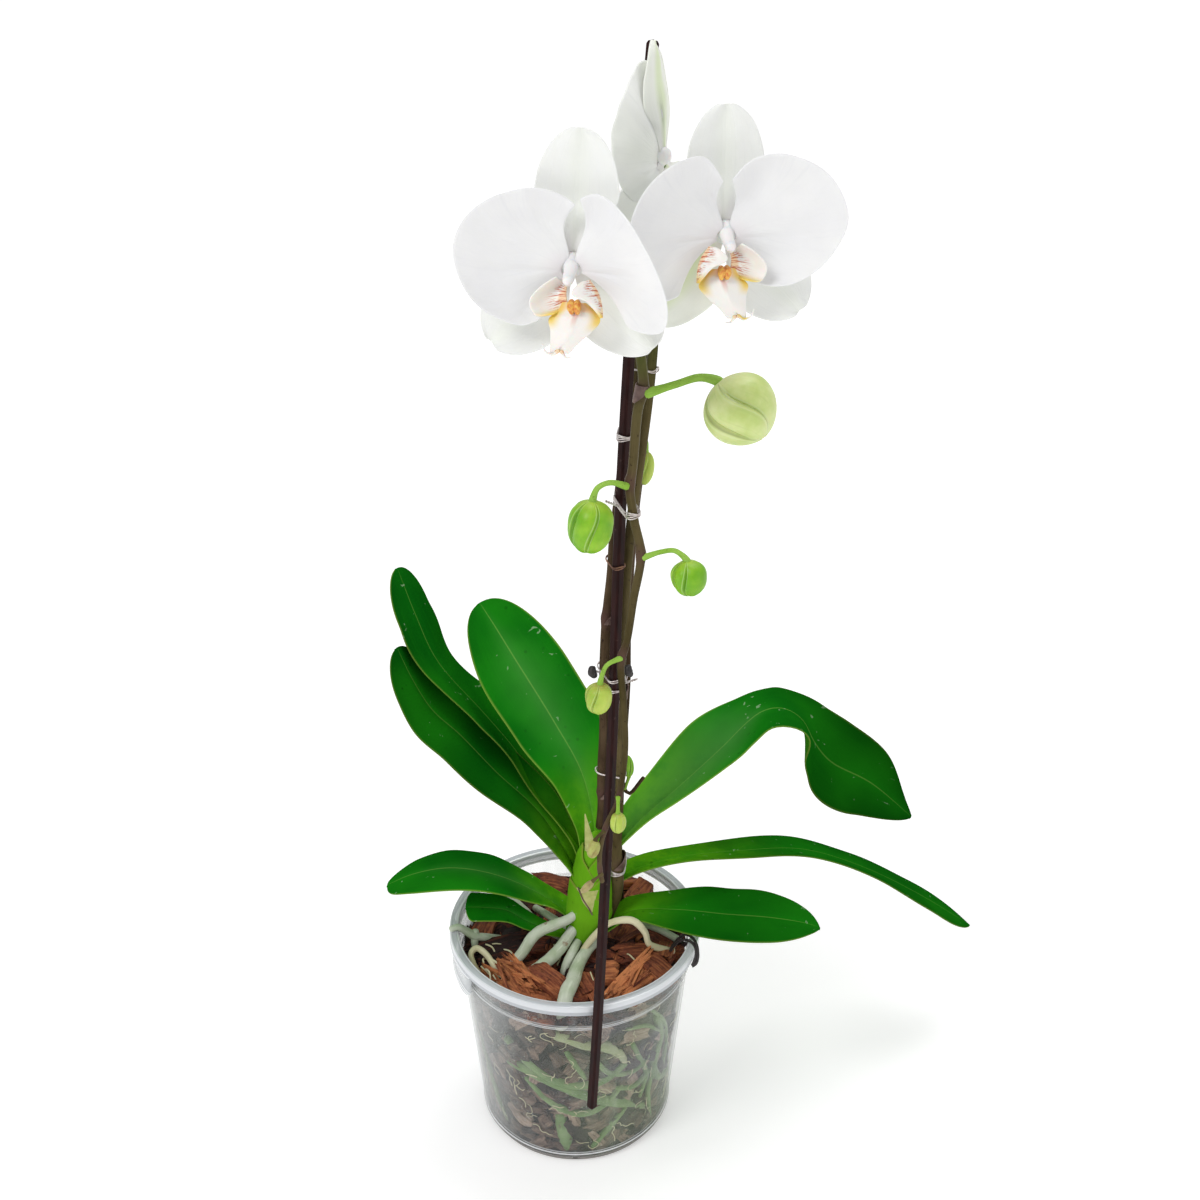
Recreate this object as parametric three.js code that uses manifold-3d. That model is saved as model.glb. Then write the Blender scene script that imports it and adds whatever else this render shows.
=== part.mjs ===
// A white moth orchid in a clear nursery pot: bark, roots, leaves, two staked spikes, three
// open flowers and their buds. Millimetres, +Z up, origin under the middle of the pot. +Y runs
// from the front of the pot, where the long stake leans on the rim, to its back.
import * as THREE from "three";
import { mergeVertices } from "three/addons/utils/BufferGeometryUtils.js";
import Module from "manifold-3d";

const wasm = await Module();
wasm.setup();

// ---- driving dimensions ----
const potHeight = 120;
const rimRadius = 65;
const rimWidth = 4.4;
const skirtDrop = 5.2;
const shoulderHeight = 101;
const shoulderRadius = 59.6;
const footRadius = 50.6;
const potWall = 1.1;
const potSides = 28;
const clearance = 0.35; // between pieces that touch
const barkTop = 106; // level of the bark at the wall
const barkMound = 5; // how much higher it lies at the crown
const chipCount = 18;
const leafThickness = 1.9;
const leafEdge = 0.9;
const tepalThickness = 1.0;
const stakeRadius = 2.2;
const thinStakeRadius = 1.8;
const tieWire = 0.6; // radius of the tie wires

// ---- small tools ----
const orchid = new THREE.Group();
const vector = ([x, y, z]) => new THREE.Vector3(x, y, z);
const mix = THREE.MathUtils.lerp;
const radians = THREE.MathUtils.degToRad;
const smooth = (x) => THREE.MathUtils.smoothstep(x, 0, 1);
const arc = (x) => Math.sqrt(Math.max(0, 1 - x * x));

function seeded(seed) {
  let state = seed;
  return () => {
    state = (state * 16807) % 2147483647;
    return state / 2147483647;
  };
}

// The value at t (0 to 1) along a list of evenly spaced values.
function along(list, t) {
  const place = THREE.MathUtils.clamp(t, 0, 1) * (list.length - 1);
  const step = Math.min(Math.floor(place), list.length - 2);
  return list.length === 1 ? list[0] : mix(list[step], list[step + 1], place - step);
}

function meshOf(points, index) {
  const geometry = new THREE.BufferGeometry().setFromPoints(points);
  geometry.setIndex(index);
  return geometry;
}

// The three corners of the face that holds the i-th corner.
const faceOf = (corners, i) => corners.slice(i - (i % 3), i - (i % 3) + 3);

// A closed geometry as a solid, without the faces that have no area at an axis, and turned outside
// out where its faces point inwards.
function solidOf(geometry) {
  const bare = new THREE.BufferGeometry();
  bare.setAttribute("position", geometry.getAttribute("position"));
  if (geometry.index) {
    bare.setIndex(geometry.index);
  }
  const merged = mergeVertices(bare, 1e-4);
  const corners = Array.from(merged.index.array);
  const triVerts = new Uint32Array(corners.filter((_, i) => new Set(faceOf(corners, i)).size === 3));
  const vertProperties = merged.attributes.position.array;
  const corner = (i) => new THREE.Vector3().fromArray(vertProperties, 3 * triVerts[i]);
  let volume = 0;
  for (let i = 0; i < triVerts.length; i += 3) {
    volume += corner(i).dot(corner(i + 1).cross(corner(i + 2)));
  }
  if (volume < 0) {
    triVerts.reverse();
  }
  return new wasm.Manifold(new wasm.Mesh({ numProp: 3, vertProperties, triVerts }));
}

function largest(solid) {
  return solid.decompose().reduce((a, b) => (a.volume() > b.volume() ? a : b));
}

function joined(solids) {
  return solids.reduce((a, b) => a.add(b));
}

function clearOf(solid, others) {
  return largest(others.reduce((rest, other) => rest.subtract(other), solid));
}

function addPiece(name, solid, finish) {
  const made = solid.getMesh();
  const geometry = new THREE.BufferGeometry();
  geometry.setAttribute("position", new THREE.BufferAttribute(made.vertProperties, 3));
  geometry.setIndex(new THREE.BufferAttribute(made.triVerts, 1));
  geometry.computeVertexNormals();
  const mesh = new THREE.Mesh(geometry, finish);
  mesh.name = name;
  orchid.add(mesh);
}

const finish = (color, roughness) =>
  new THREE.MeshStandardMaterial({ color, roughness, metalness: 0 });
const clearPlastic = finish("#cfd4d6", 0.25);
const barkBrown = finish("#5b3021", 0.95);
const rootGreen = finish("#a9b59a", 0.7);
const crownGreen = finish("#7fb52f", 0.4);
const leafGreen = finish("#0f6a1c", 0.3);
const spikeBrown = finish("#6d5f45", 0.55);
const stakeBrown = finish("#2c1512", 0.45);
const budGreen = finish("#9ecb3c", 0.45);
const petalWhite = finish("#f7f7f5", 0.5);
const lipYellow = finish("#f3e29a", 0.5);
const wireSilver = new THREE.MeshStandardMaterial({ color: "#b9a9a6", roughness: 0.4, metalness: 0.8 });
const cordBlack = finish("#1a1414", 0.6);

// Rings of equal point count, joined to one skin and filled at both ends.
function skin(rings) {
  const sides = rings[0].length;
  const points = rings.flat();
  const index = [];
  for (let i = 0; i < rings.length - 1; i++) {
    for (let j = 0; j < sides; j++) {
      const a = i * sides + j;
      const b = i * sides + ((j + 1) % sides);
      index.push(a, b, b + sides, a, b + sides, a + sides);
    }
  }
  for (const [ring, start, flip] of [
    [rings[0], 0, true],
    [rings.at(-1), (rings.length - 1) * sides, false],
  ]) {
    const middle = points.length;
    points.push(ring.reduce((sum, p) => sum.add(p), new THREE.Vector3()).divideScalar(sides));
    for (let j = 0; j < sides; j++) {
      const a = start + j;
      const b = start + ((j + 1) % sides);
      index.push(middle, flip ? b : a, flip ? a : b);
    }
  }
  return solidOf(meshOf(points, index));
}

// A round stem along a hand-set way; radii are spread evenly along it, and its ends are domed.
function stem({ way, radii, sides = 7, steps, grow = 0 }) {
  const curve = new THREE.CatmullRomCurve3(way.map(vector), false, "centripetal");
  const frames = curve.computeFrenetFrames(steps, false);
  const rings = [];
  const ring = (centre, i, radius) =>
    Array.from({ length: sides }, (_, j) => {
      const turn = (2 * Math.PI * j) / sides;
      return centre
        .clone()
        .addScaledVector(frames.normals[i], radius * Math.cos(turn))
        .addScaledVector(frames.binormals[i], radius * Math.sin(turn));
    });
  const radiusAt = (t) => along(radii, t) + grow;
  const dome = (i, sign) => {
    const radius = radiusAt(i / steps);
    const end = curve.getPointAt(i / steps).addScaledVector(frames.tangents[i], 0.55 * sign * radius);
    return ring(end, i, 0.5 * radius);
  };
  rings.push(dome(0, -1));
  for (let i = 0; i <= steps; i++) {
    rings.push(ring(curve.getPointAt(i / steps), i, radiusAt(i / steps)));
  }
  rings.push(dome(steps, 1));
  return skin(rings);
}

// A thin solid on the surface at(u, v), split into triangles alike on both faces.
function sheet({ rows, cols, at, thick }) {
  const front = [];
  const back = [];
  const reach = 0.02;
  for (let i = 0; i <= rows; i++) {
    for (let j = 0; j <= cols; j++) {
      const u = i / rows;
      const v = j / cols;
      const du = at(Math.min(u + reach, 1), v).sub(at(Math.max(u - reach, 0), v));
      const dv = at(u, Math.min(v + reach, 1)).sub(at(u, Math.max(v - reach, 0)));
      const half = du.cross(dv).normalize().multiplyScalar(thick(u, v) / 2);
      front.push(at(u, v).add(half));
      back.push(at(u, v).sub(half));
    }
  }
  const index = [];
  const count = front.length;
  const wall = (p, q) => index.push(p, q, q + count, p, q + count, p + count);
  for (let i = 0; i < rows; i++) {
    for (let j = 0; j < cols; j++) {
      const a = i * (cols + 1) + j;
      const b = a + 1;
      const c = a + cols + 1;
      const d = c + 1;
      index.push(a, b, d, a, d, c);
      index.push(a + count, d + count, b + count, a + count, c + count, d + count);
      if (i === 0) wall(b, a);
      if (i === rows - 1) wall(c, d);
      if (j === 0) wall(a, c);
      if (j === cols - 1) wall(d, b);
    }
  }
  return solidOf(meshOf([...front, ...back], index));
}

// A ball squashed to three radii along its own axes.
function ball(centre, radii, sides, bands) {
  const geometry = new THREE.SphereGeometry(1, sides, bands);
  geometry.scale(...radii);
  geometry.translate(...centre);
  return solidOf(geometry);
}

// ---- pot ----
function lathe(profile, sides) {
  const outline = profile.map(([radius, height]) => new THREE.Vector2(radius, height));
  const geometry = new THREE.LatheGeometry(outline, sides);
  geometry.rotateX(Math.PI / 2);
  return solidOf(geometry);
}

// The pot's outer wall radius at a height above its foot.
const wallRadius = (z) => mix(footRadius, shoulderRadius, z / shoulderHeight);
const boreRadius = (z) => (z < shoulderHeight ? wallRadius(z) : shoulderRadius + 1) - potWall;

function makePot() {
  const beadHeight = 4.4;
  const floorTop = 1.6;
  const lipInner = rimRadius - rimWidth;
  const body = lathe(
    [
      [0, 0],
      [footRadius - 1.6, 0],
      [footRadius - 1.2, beadHeight - 1],
      [footRadius + 0.8, beadHeight],
      [wallRadius(beadHeight + 2), beadHeight + 2],
      [shoulderRadius, shoulderHeight],
      [shoulderRadius + 1.3, shoulderHeight + 1.4],
      [lipInner + 0.8, potHeight - 1.3],
      [rimRadius - 1.1, potHeight - 1.3],
      [rimRadius - 1, potHeight - skirtDrop],
      [rimRadius, potHeight - skirtDrop],
      [rimRadius, potHeight - 0.6],
      [rimRadius - 0.6, potHeight],
      [lipInner, potHeight],
      [lipInner - 0.5, potHeight - 2],
      [shoulderRadius + 1.3 - potWall, shoulderHeight + 2],
      [shoulderRadius - potWall, shoulderHeight],
      [wallRadius(9) - potWall, 9],
      [wallRadius(floorTop) - 1.6 - potWall, floorTop],
      [0, floorTop],
    ],
    potSides,
  );
  const slotCount = 6;
  const slots = Array.from({ length: slotCount }, (_, i) => {
    const slot = new THREE.BoxGeometry(9, 2.4, 3.6);
    slot.translate(footRadius - 3, 0, 2);
    slot.rotateZ((2 * Math.PI * (i + 0.5)) / slotCount);
    return solidOf(slot);
  });
  const tabFrom = radians(172);
  const tabTo = radians(216);
  const tabDrop = 21;
  const tab = sheet({
    rows: 2,
    cols: 6,
    at: (u, v) => {
      const turn = mix(tabFrom, tabTo, v);
      const corner = Math.pow(Math.abs(2 * v - 1), 6) * 8;
      const height = potHeight - 2 - u * (tabDrop - corner);
      const radius = rimRadius - 0.6 - 1.2 * u;
      return new THREE.Vector3(radius * Math.cos(turn), radius * Math.sin(turn), height);
    },
    thick: () => 0.9,
  });
  return slots.reduce((pot, slot) => pot.subtract(slot), body.add(tab));
}

// ---- crown: the short stem with its stacked leaf bases ----
const crownStations = [
  // x, y, z of the middle, then half width and half depth
  [8, -2, 99, 6, 5],
  [8, -3, 108, 9, 7],
  [8, -3, 117, 11.5, 8.5],
  [8, -2, 127, 12, 8.5],
  [8, -1, 137, 11, 7.5],
  [9, 0, 149, 8.5, 6.5],
  [10, 1, 160, 6.5, 5],
  [11, 2, 170, 4, 3.5],
  [11, 2, 176, 1.6, 1.5],
];

function makeCrown(grow = 0) {
  const sides = 10;
  const rings = crownStations.map(([x, y, z, a, b], i) => {
    const rise = i === 0 ? -grow : i === crownStations.length - 1 ? grow : 0;
    return Array.from({ length: sides }, (_, j) => {
      const turn = (2 * Math.PI * j) / sides;
      const across = (a + grow) * Math.cos(turn);
      return new THREE.Vector3(x + across, y + (b + grow) * Math.sin(turn), z + rise);
    });
  });
  return skin(rings);
}

// ---- leaves ----
// way: midrib from crown to tip. wide: full width. fold: how far both halves lift from flat,
// and roll: how far the blade leans about its midrib, in degrees, spread from base to tip.
const leaves = {
  leaf_1: {
    way: [[-2, -2, 114], [-18, -3, 119], [-34, -5, 128], [-46, -6, 131], [-54, -7, 128]],
    wide: 21,
    fold: [20, 8, 4],
    roll: [18, 24, 24],
    roundFrom: 0.93,
  },
  leaf_2: {
    way: [
      [4, 2, 116], [-8, 4, 125], [-21, 2, 137], [-42, -2, 151], [-63, -5, 157], [-81, -6, 154],
      [-95, -6, 147],
    ],
    wide: 38,
    fold: [35, 8, 2, -3, -3],
    roll: [0, -2, -4, -5, -4],
  },
  leaf_3: {
    way: [
      [6, 3, 134], [0, 6, 148], [-17, 8, 181], [-39, 10, 205], [-57, 14, 225], [-70, 17, 237],
      [-79, 19, 253], [-86, 21, 270],
    ],
    wide: 40,
    fold: [35, 20, 12, 2, 0, -3],
    roll: [0, 22, 14, 8, 10, 8],
  },
  leaf_4: {
    way: [
      [8, 5, 142], [2, 12, 157], [-14, 20, 181], [-29, 28, 204], [-46, 33, 225], [-69, 38, 253],
      [-79, 42, 277], [-87, 46, 301],
    ],
    wide: 41,
    fold: [38, 36, 30, 6, 1, 0],
    roll: [0, 6, 4, -10, -9, -2],
  },
  leaf_5: {
    way: [
      [11, 4, 152], [10, 10, 172], [4, 19, 198], [-10, 28, 223], [-30, 38, 256], [-41, 44, 276],
      [-48, 48, 286],
    ],
    wide: 46,
    fold: [36, 20, 12, 8, 6],
    roll: [10, 20, 32, 40, 36],
  },
  leaf_6: {
    way: [
      [12, -1, 112], [28, 4, 122], [53, -2, 128], [77, -8, 130], [100, -12, 131], [118, -14, 129],
      [125, -15, 127],
    ],
    wide: 40,
    fold: [30, 8, 3, 2, 4],
    roll: [0, 2, -2, -4, -8],
  },
  leaf_7: {
    way: [
      [13, 6, 134], [29, 11, 143], [55, 20, 145], [88, 32, 140], [122, 44, 132], [157, 54, 113],
      [192, 62, 88], [228, 70, 58],
    ],
    wide: 40,
    fold: [28, 8, 6, 3, 0, -3],
    roll: [0, 14, 16, 14, 6, -8],
  },
  leaf_8: {
    way: [
      [12, 5, 150], [22, 10, 168], [34, 12, 178], [57, 16, 197], [74, 19, 214], [88, 20, 229],
      [106, 20, 236], [120, 20, 221], [135, 18, 204], [155, 15, 194], [172, 12, 181],
    ],
    wide: 50,
    fold: [34, 26, 28, 16, 0, 10, 6, -4],
    roll: [0, -6, -10, -6, 2, -24, -40, -40, -22],
  },
};

function leafHalf(spec, t) {
  const { roundFrom = 0.68, wide } = spec;
  const spread = 0.36 + 0.64 * smooth(t / 0.55);
  const tip = t > roundFrom ? arc((t - roundFrom) / (1 - roundFrom)) : 1;
  return (wide / 2) * Math.max(spread * Math.pow(tip, 0.9), 0.03);
}

function makeLeaf(spec, grow = 0) {
  const curve = new THREE.CatmullRomCurve3(spec.way.map(vector), false, "centripetal");
  const up = new THREE.Vector3(0, 0, 1);
  return sheet({
    rows: 10,
    cols: 4,
    at: (u, v) => {
      const t = 1 - Math.pow(1 - u, 1.5);
      const side = 2 * v - 1;
      const run = curve.getTangentAt(t);
      const across = run.clone().cross(up).normalize();
      const above = across.clone().cross(run);
      const roll = radians(along(spec.roll, t));
      const lift = radians(along(spec.fold, t)) * (0.6 + 0.4 * Math.abs(side));
      const reach = side * (leafHalf(spec, t) + grow);
      const turn = reach < 0 ? Math.PI - lift + roll : lift + roll;
      return curve
        .getPointAt(t)
        .addScaledVector(across, Math.abs(reach) * Math.cos(turn))
        .addScaledVector(above, Math.abs(reach) * Math.sin(turn));
    },
    thick: (u, v) => mix(leafThickness, leafEdge, Math.abs(2 * v - 1)) + 2 * grow,
  });
}

// ---- roots ----
const roots = {
  root_1: {
    way: [
      [2, -5, 131], [-3, -9, 131], [-9, -18, 134], [-17, -26, 133], [-24, -34, 124], [-29, -39, 112],
      [-31, -42, 98],
    ],
    radii: [2.6, 2.9, 2.8, 2.6, 2.4],
  },
  root_2: {
    way: [[4, -8, 119], [-1, -12, 120], [-8, -22, 121], [-13, -31, 118], [-18, -39, 109], [-21, -44, 97]],
    radii: [2.8, 3, 3, 2.8, 2.5],
  },
  root_3: {
    way: [[10, -9, 118], [9, -16, 122], [6, -26, 124], [2, -37, 121], [-1, -46, 113], [-3, -51, 100]],
    radii: [2.6, 3.1, 3.1, 3, 2.7],
  },
  root_4: {
    way: [[1, -7, 112], [-4, -13, 113], [-8, -19, 108], [-11, -24, 98]],
    radii: [2.4, 2.6, 2.4],
  },
  root_5: {
    way: [[0, 6, 118], [-10, 13, 124], [-22, 17, 122], [-32, 20, 113], [-38, 22, 99]],
    radii: [2.2, 2.5, 2.4, 2.2],
  },
  root_6: {
    way: [
      [15, -9, 113], [20, -14, 120], [27, -15, 123], [34, -13, 120], [37, -13, 113], [42, -15, 108],
      [48, -17, 98],
    ],
    radii: [1.3, 1.7, 1.7, 1.6, 1.5],
  },
  root_7: {
    way: [[-40, 2, 98], [-46, -2, 108], [-52, -6, 117], [-57, -4, 126], [-63, 2, 129], [-67, 8, 127]],
    radii: [2.2, 2.6, 2.6, 2.4, 1.7],
  },
  root_8: {
    way: [
      [-43, -26, 96], [-47, -22, 108], [-50, -15, 114], [-47, -8, 115], [-42, -10, 110],
      [-38, -16, 97],
    ],
    radii: [1.2, 1.5, 1.5, 1.4, 1.2],
  },
};

// Roots against the inside of the wall: turn about the pot in degrees, height.
const wallRoots = {
  wall_root_1: {
    way: [[-100, 92], [-92, 90], [-84, 86], [-74, 83], [-66, 76], [-60, 66]],
    radius: 2.9,
  },
  wall_root_2: {
    way: [[-130, 78], [-120, 71], [-106, 62], [-92, 57], [-78, 57], [-66, 62], [-54, 70]],
    radius: 2.4,
  },
  wall_root_3: {
    way: [[-118, 56], [-108, 46], [-96, 38], [-84, 35], [-72, 40], [-62, 50]],
    radius: 1.8,
  },
  wall_root_4: {
    way: [[-40, 88], [-34, 70], [-38, 52], [-30, 36], [-12, 28], [14, 30]],
    radius: 2.5,
  },
};

function makeRoot(spec, grow = 0) {
  return stem({ ...spec, sides: 5, steps: 7, grow });
}

function makeWallRoot({ way, radius }, grow = 0) {
  const points = way.map(([degrees, z]) => {
    const reach = wallRadius(z) - potWall - clearance - 1.2 - radius;
    return [reach * Math.cos(radians(degrees)), reach * Math.sin(radians(degrees)), z];
  });
  const radii = [radius * 0.8, radius, radius, radius * 0.7];
  return stem({ way: points, radii, sides: 5, steps: 6, grow });
}

// ---- stakes ----
// The long one hangs outside the pot, leans on the rim and runs straight up to the spikes.
const longStake = {
  way: [
    [9, -73.6, 65], [12, -66.9, 118], [18, -49, 251], [22, -33, 376], [29, -16.5, 501],
    [33, -10, 550],
  ],
  radii: [stakeRadius],
  sides: 7,
  steps: 8,
};
const shortStake = {
  way: [[26, 26, 60], [24, 16, 110], [23, 9, 146], [22, 5, 172]],
  radii: [thinStakeRadius],
  sides: 6,
  steps: 3,
};

// ---- flower spikes ----
// Each climbs from the crown, bends over at the top and hangs down with its buds.
const spikes = {
  spike_1: {
    way: [
      [17, 4, 120], [21, 2, 134], [22, 1, 144], [21, -2, 166], [22, -12, 204], [22, -23, 246],
      [22, -32, 283], [23, -35, 311], [25, -31, 343], [27, -28, 365], [30, -25, 387], [33, -22, 412],
      [35, -20, 440], [34, -25, 462], [31, -35, 471], [28, -45, 466], [28, -50, 448], [30, -50, 427],
      [28, -50, 418], [26, -50, 392], [25, -50, 386], [27, -50, 370], [30, -51, 355], [27, -53, 335],
      [24, -55, 314], [22, -56, 308], [23, -58, 289], [24, -60, 264], [22, -62, 244], [21, -63, 239],
      [16, -65, 228], [13, -66, 215], [13, -66, 203], [14, -66, 197],
    ],
    radii: [3, 3.3, 2.7, 2.5, 2.4, 2.3, 2.2, 2.2, 2.1, 2.1, 2.1, 2.1, 2, 1.9, 1.8, 1.6, 1.4, 1.2, 1.1],
    sides: 6,
    steps: 46,
  },
  spike_2: {
    way: [
      [13, 1, 179], [14, -7, 197], [14, -13, 219], [15, -22, 253], [15, -32, 291], [16, -34, 316],
      [18, -31, 336], [19, -29, 352], [21, -26, 369], [24, -22, 398], [28, -17, 428], [31, -12, 458],
      [34, -5, 480], [37, 3, 486], [38, 6, 476], [36, 0, 452], [33, -8, 420], [31, -12, 384],
      [28, -13, 350], [26, -13, 305], [26, -11, 268], [25, -9, 240], [24, -8, 212], [27, -8, 205],
      [34, -9, 215],
    ],
    radii: [2.2, 2.4, 2.3, 2.2, 2.2, 2.1, 2, 1.9, 1.8, 1.5, 1.3, 1.1, 0.9],
    sides: 5,
    steps: 40,
  },
};

// ---- buds ----
// stalk: from the spike to the bud's base. nose: the bud's far end. wide: its greatest width.
const buds = {
  bud_1: {
    stalk: [[31, -52, 427], [40, -53, 430], [48, -55, 432], [55, -58, 430]],
    nose: [80, -65, 413],
    wide: 27,
    rings: 6,
    sides: 12,
  },
  bud_2: {
    stalk: [[24, -52, 386], [17, -53, 388], [12, -54, 386], [10, -55, 381]],
    nose: [8, -57, 359],
    wide: 17.5,
    rings: 5,
    sides: 9,
  },
  bud_3: {
    stalk: [[31, -52, 354], [38, -53, 357], [44, -54, 358], [49, -55, 354]],
    nose: [51, -57, 339],
    wide: 14.5,
    rings: 5,
    sides: 9,
  },
  bud_4: {
    stalk: [[22, -57, 309], [16, -58, 306], [14, -59, 302], [13, -60, 298]],
    nose: [12, -61, 284],
    wide: 11.5,
    rings: 5,
    sides: 8,
  },
  bud_5: {
    stalk: [[21, -64, 242], [21, -65, 239], [21, -66, 235]],
    nose: [21, -67, 225],
    wide: 7,
    rings: 4,
    sides: 6,
  },
  bud_6: {
    stalk: [[15, -66, 225], [13, -67, 224], [11, -67, 221]],
    nose: [9, -68, 212],
    wide: 5.6,
    rings: 4,
    sides: 6,
  },
  bud_7: {
    stalk: [[14, -67, 202], [12, -68, 201], [10, -68, 199]],
    nose: [6, -69, 194],
    wide: 4.6,
    rings: 4,
    sides: 6,
  },
  bud_8: {
    stalk: [[25, -8, 208], [26, -8, 211], [27, -8, 215]],
    nose: [26, -8, 227],
    wide: 5.4,
    rings: 4,
    sides: 6,
  },
  bud_9: {
    stalk: [[32, -10, 391], [33, -11, 389], [33, -11, 385]],
    nose: [32, -12, 370],
    wide: 7.4,
    rings: 4,
    sides: 6,
  },
};

function makeBud({ stalk, nose, wide, rings, sides }) {
  const start = vector(stalk.at(-1));
  const axis = vector(nose).sub(start);
  const up = new THREE.Vector3(0, 0, 1);
  const turnTo = new THREE.Quaternion().setFromUnitVectors(up, axis.clone().normalize());
  const made = Array.from({ length: rings }, (_, i) => {
    const t = (i + 0.35) / (rings - 0.3);
    const girth = (wide / 2) * Math.pow(Math.sin(Math.PI * Math.pow(t, 0.85)), 0.7);
    return Array.from({ length: sides }, (_, j) => {
      const turn = (2 * Math.PI * j) / sides;
      const ridge = 1 + 0.035 * Math.cos(3 * turn);
      const p = new THREE.Vector3(Math.cos(turn), Math.sin(turn), 0).multiplyScalar(girth * ridge);
      return p.applyQuaternion(turnTo).add(start).addScaledVector(axis, t);
    });
  });
  const stalkRadius = 0.6 + wide * 0.035;
  const way = [...stalk, start.clone().addScaledVector(axis, 0.2).toArray()];
  const radii = [stalkRadius * 1.3, stalkRadius, stalkRadius, stalkRadius * 1.2];
  return skin(made).add(stem({ way, radii, sides: 5, steps: wide > 10 ? 5 : 2 }));
}

// ---- flowers ----
// centre: where the tepals meet. yaw: turned to the viewer's right from the front, pitch: up,
// roll: clockwise, in degrees. droop: how far each petal's middle line dips. stalk: its pedicel.
const flowers = {
  flower_1: {
    centre: [3, -90, 487.5],
    yaw: -12,
    pitch: 2,
    roll: 3,
    droop: [0, 18],
    stalk: [[28, -43, 471], [22, -56, 477], [13, -71, 484], [6, -82, 488]],
  },
  flower_2: {
    centre: [58.5, -69, 494],
    yaw: 12,
    pitch: 2,
    roll: 0,
    droop: [4, 0],
    stalk: [[35, -24, 464], [43, -32, 475], [51, -46, 487], [56, -61, 494]],
  },
  flower_3: {
    centre: [34, -36, 511],
    yaw: -112,
    pitch: -6,
    roll: 0,
    droop: [0, 0],
    stalk: [[39, 2, 487], [45, -5, 497], [48, -20, 505], [42, -33, 511]],
  },
};
const petalReach = 42.5;
const sepalLength = 47;
const sepalWidth = 29;
const petalSweep = radians(20); // petals lean forward of the flower's plane

function flowerFrame({ centre, yaw, pitch, roll }) {
  const turned = new THREE.Matrix4().makeRotationFromEuler(
    new THREE.Euler(radians(-pitch), 0, radians(yaw), "ZXY"),
  );
  // own axes: x to the viewer's right, y up, z out of the flower
  const upright = new THREE.Matrix4().makeRotationX(Math.PI / 2);
  const rolled = new THREE.Matrix4().makeRotationZ(radians(-roll));
  const placed = new THREE.Matrix4().makeTranslation(...centre);
  return placed.multiply(turned).multiply(upright).multiply(rolled);
}

// The petal's reach by angle above its middle line: a broad fan that ends short at both sides.
function petalRim(degrees) {
  const above = 1 - 0.48 * Math.pow(degrees / 80, 2);
  const below = 1 - 0.5 * Math.pow(Math.abs(degrees) / 72, 1.7);
  return petalReach * (degrees > 0 ? above : below);
}

function makePetal(side, droop) {
  return sheet({
    rows: 4,
    cols: 8,
    at: (u, v) => {
      const degrees = mix(80, -72, v);
      const reach = mix(3, petalRim(degrees), Math.pow(u, 0.9));
      const turn = radians(degrees - droop);
      const out = reach * Math.cos(turn);
      const rise = reach * Math.sin(turn);
      const cup = 2.2 * Math.sin(Math.PI * u) - 2.5 * u * u * Math.pow((degrees - 4) / 80, 2);
      return new THREE.Vector3(
        side * (1 + out * Math.cos(petalSweep)),
        rise,
        1.5 + Math.max(out, 0) * Math.sin(petalSweep) - cup,
      );
    },
    thick: () => tepalThickness,
  });
}

// A sepal from the centre out at an angle from straight up, back a little from the petals.
function makeSepal(degrees, length, width, lean) {
  const turn = radians(degrees);
  return sheet({
    rows: 5,
    cols: 4,
    at: (u, v) => {
      const t = 1 - Math.pow(1 - u, 1.4);
      const bulge = 0.22 + 0.78 * smooth(t / 0.5);
      const half = (width / 2) * Math.max(bulge * arc(Math.max(0, (t - 0.45) / 0.56)), 0.05);
      const across = (2 * v - 1) * half;
      const out = 2 + t * (length - 2);
      const depth = -3 + lean * t + 2.4 * Math.pow(across / (width / 2), 2) - 1.5 * Math.sin(Math.PI * t);
      return new THREE.Vector3(
        out * Math.sin(turn) + across * Math.cos(turn),
        out * Math.cos(turn) - across * Math.sin(turn),
        depth,
      );
    },
    thick: () => tepalThickness,
  });
}

function makeTepals({ droop }) {
  const column = [[0, 0, -2], [0, -3, 4], [0, -6.5, 7.5]];
  return joined([
    ball([0, -0.5, -1], [4, 4, 4], 6, 4),
    stem({ way: column, radii: [3, 2.6, 2.8], sides: 6, steps: 3 }),
    makeSepal(0, sepalLength, sepalWidth, -1),
    makeSepal(-137, sepalLength, 1.1 * sepalWidth, 3),
    makeSepal(137, sepalLength, 1.1 * sepalWidth, 3),
    makePetal(-1, droop[0]),
    makePetal(1, droop[1]),
  ]);
}

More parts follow.
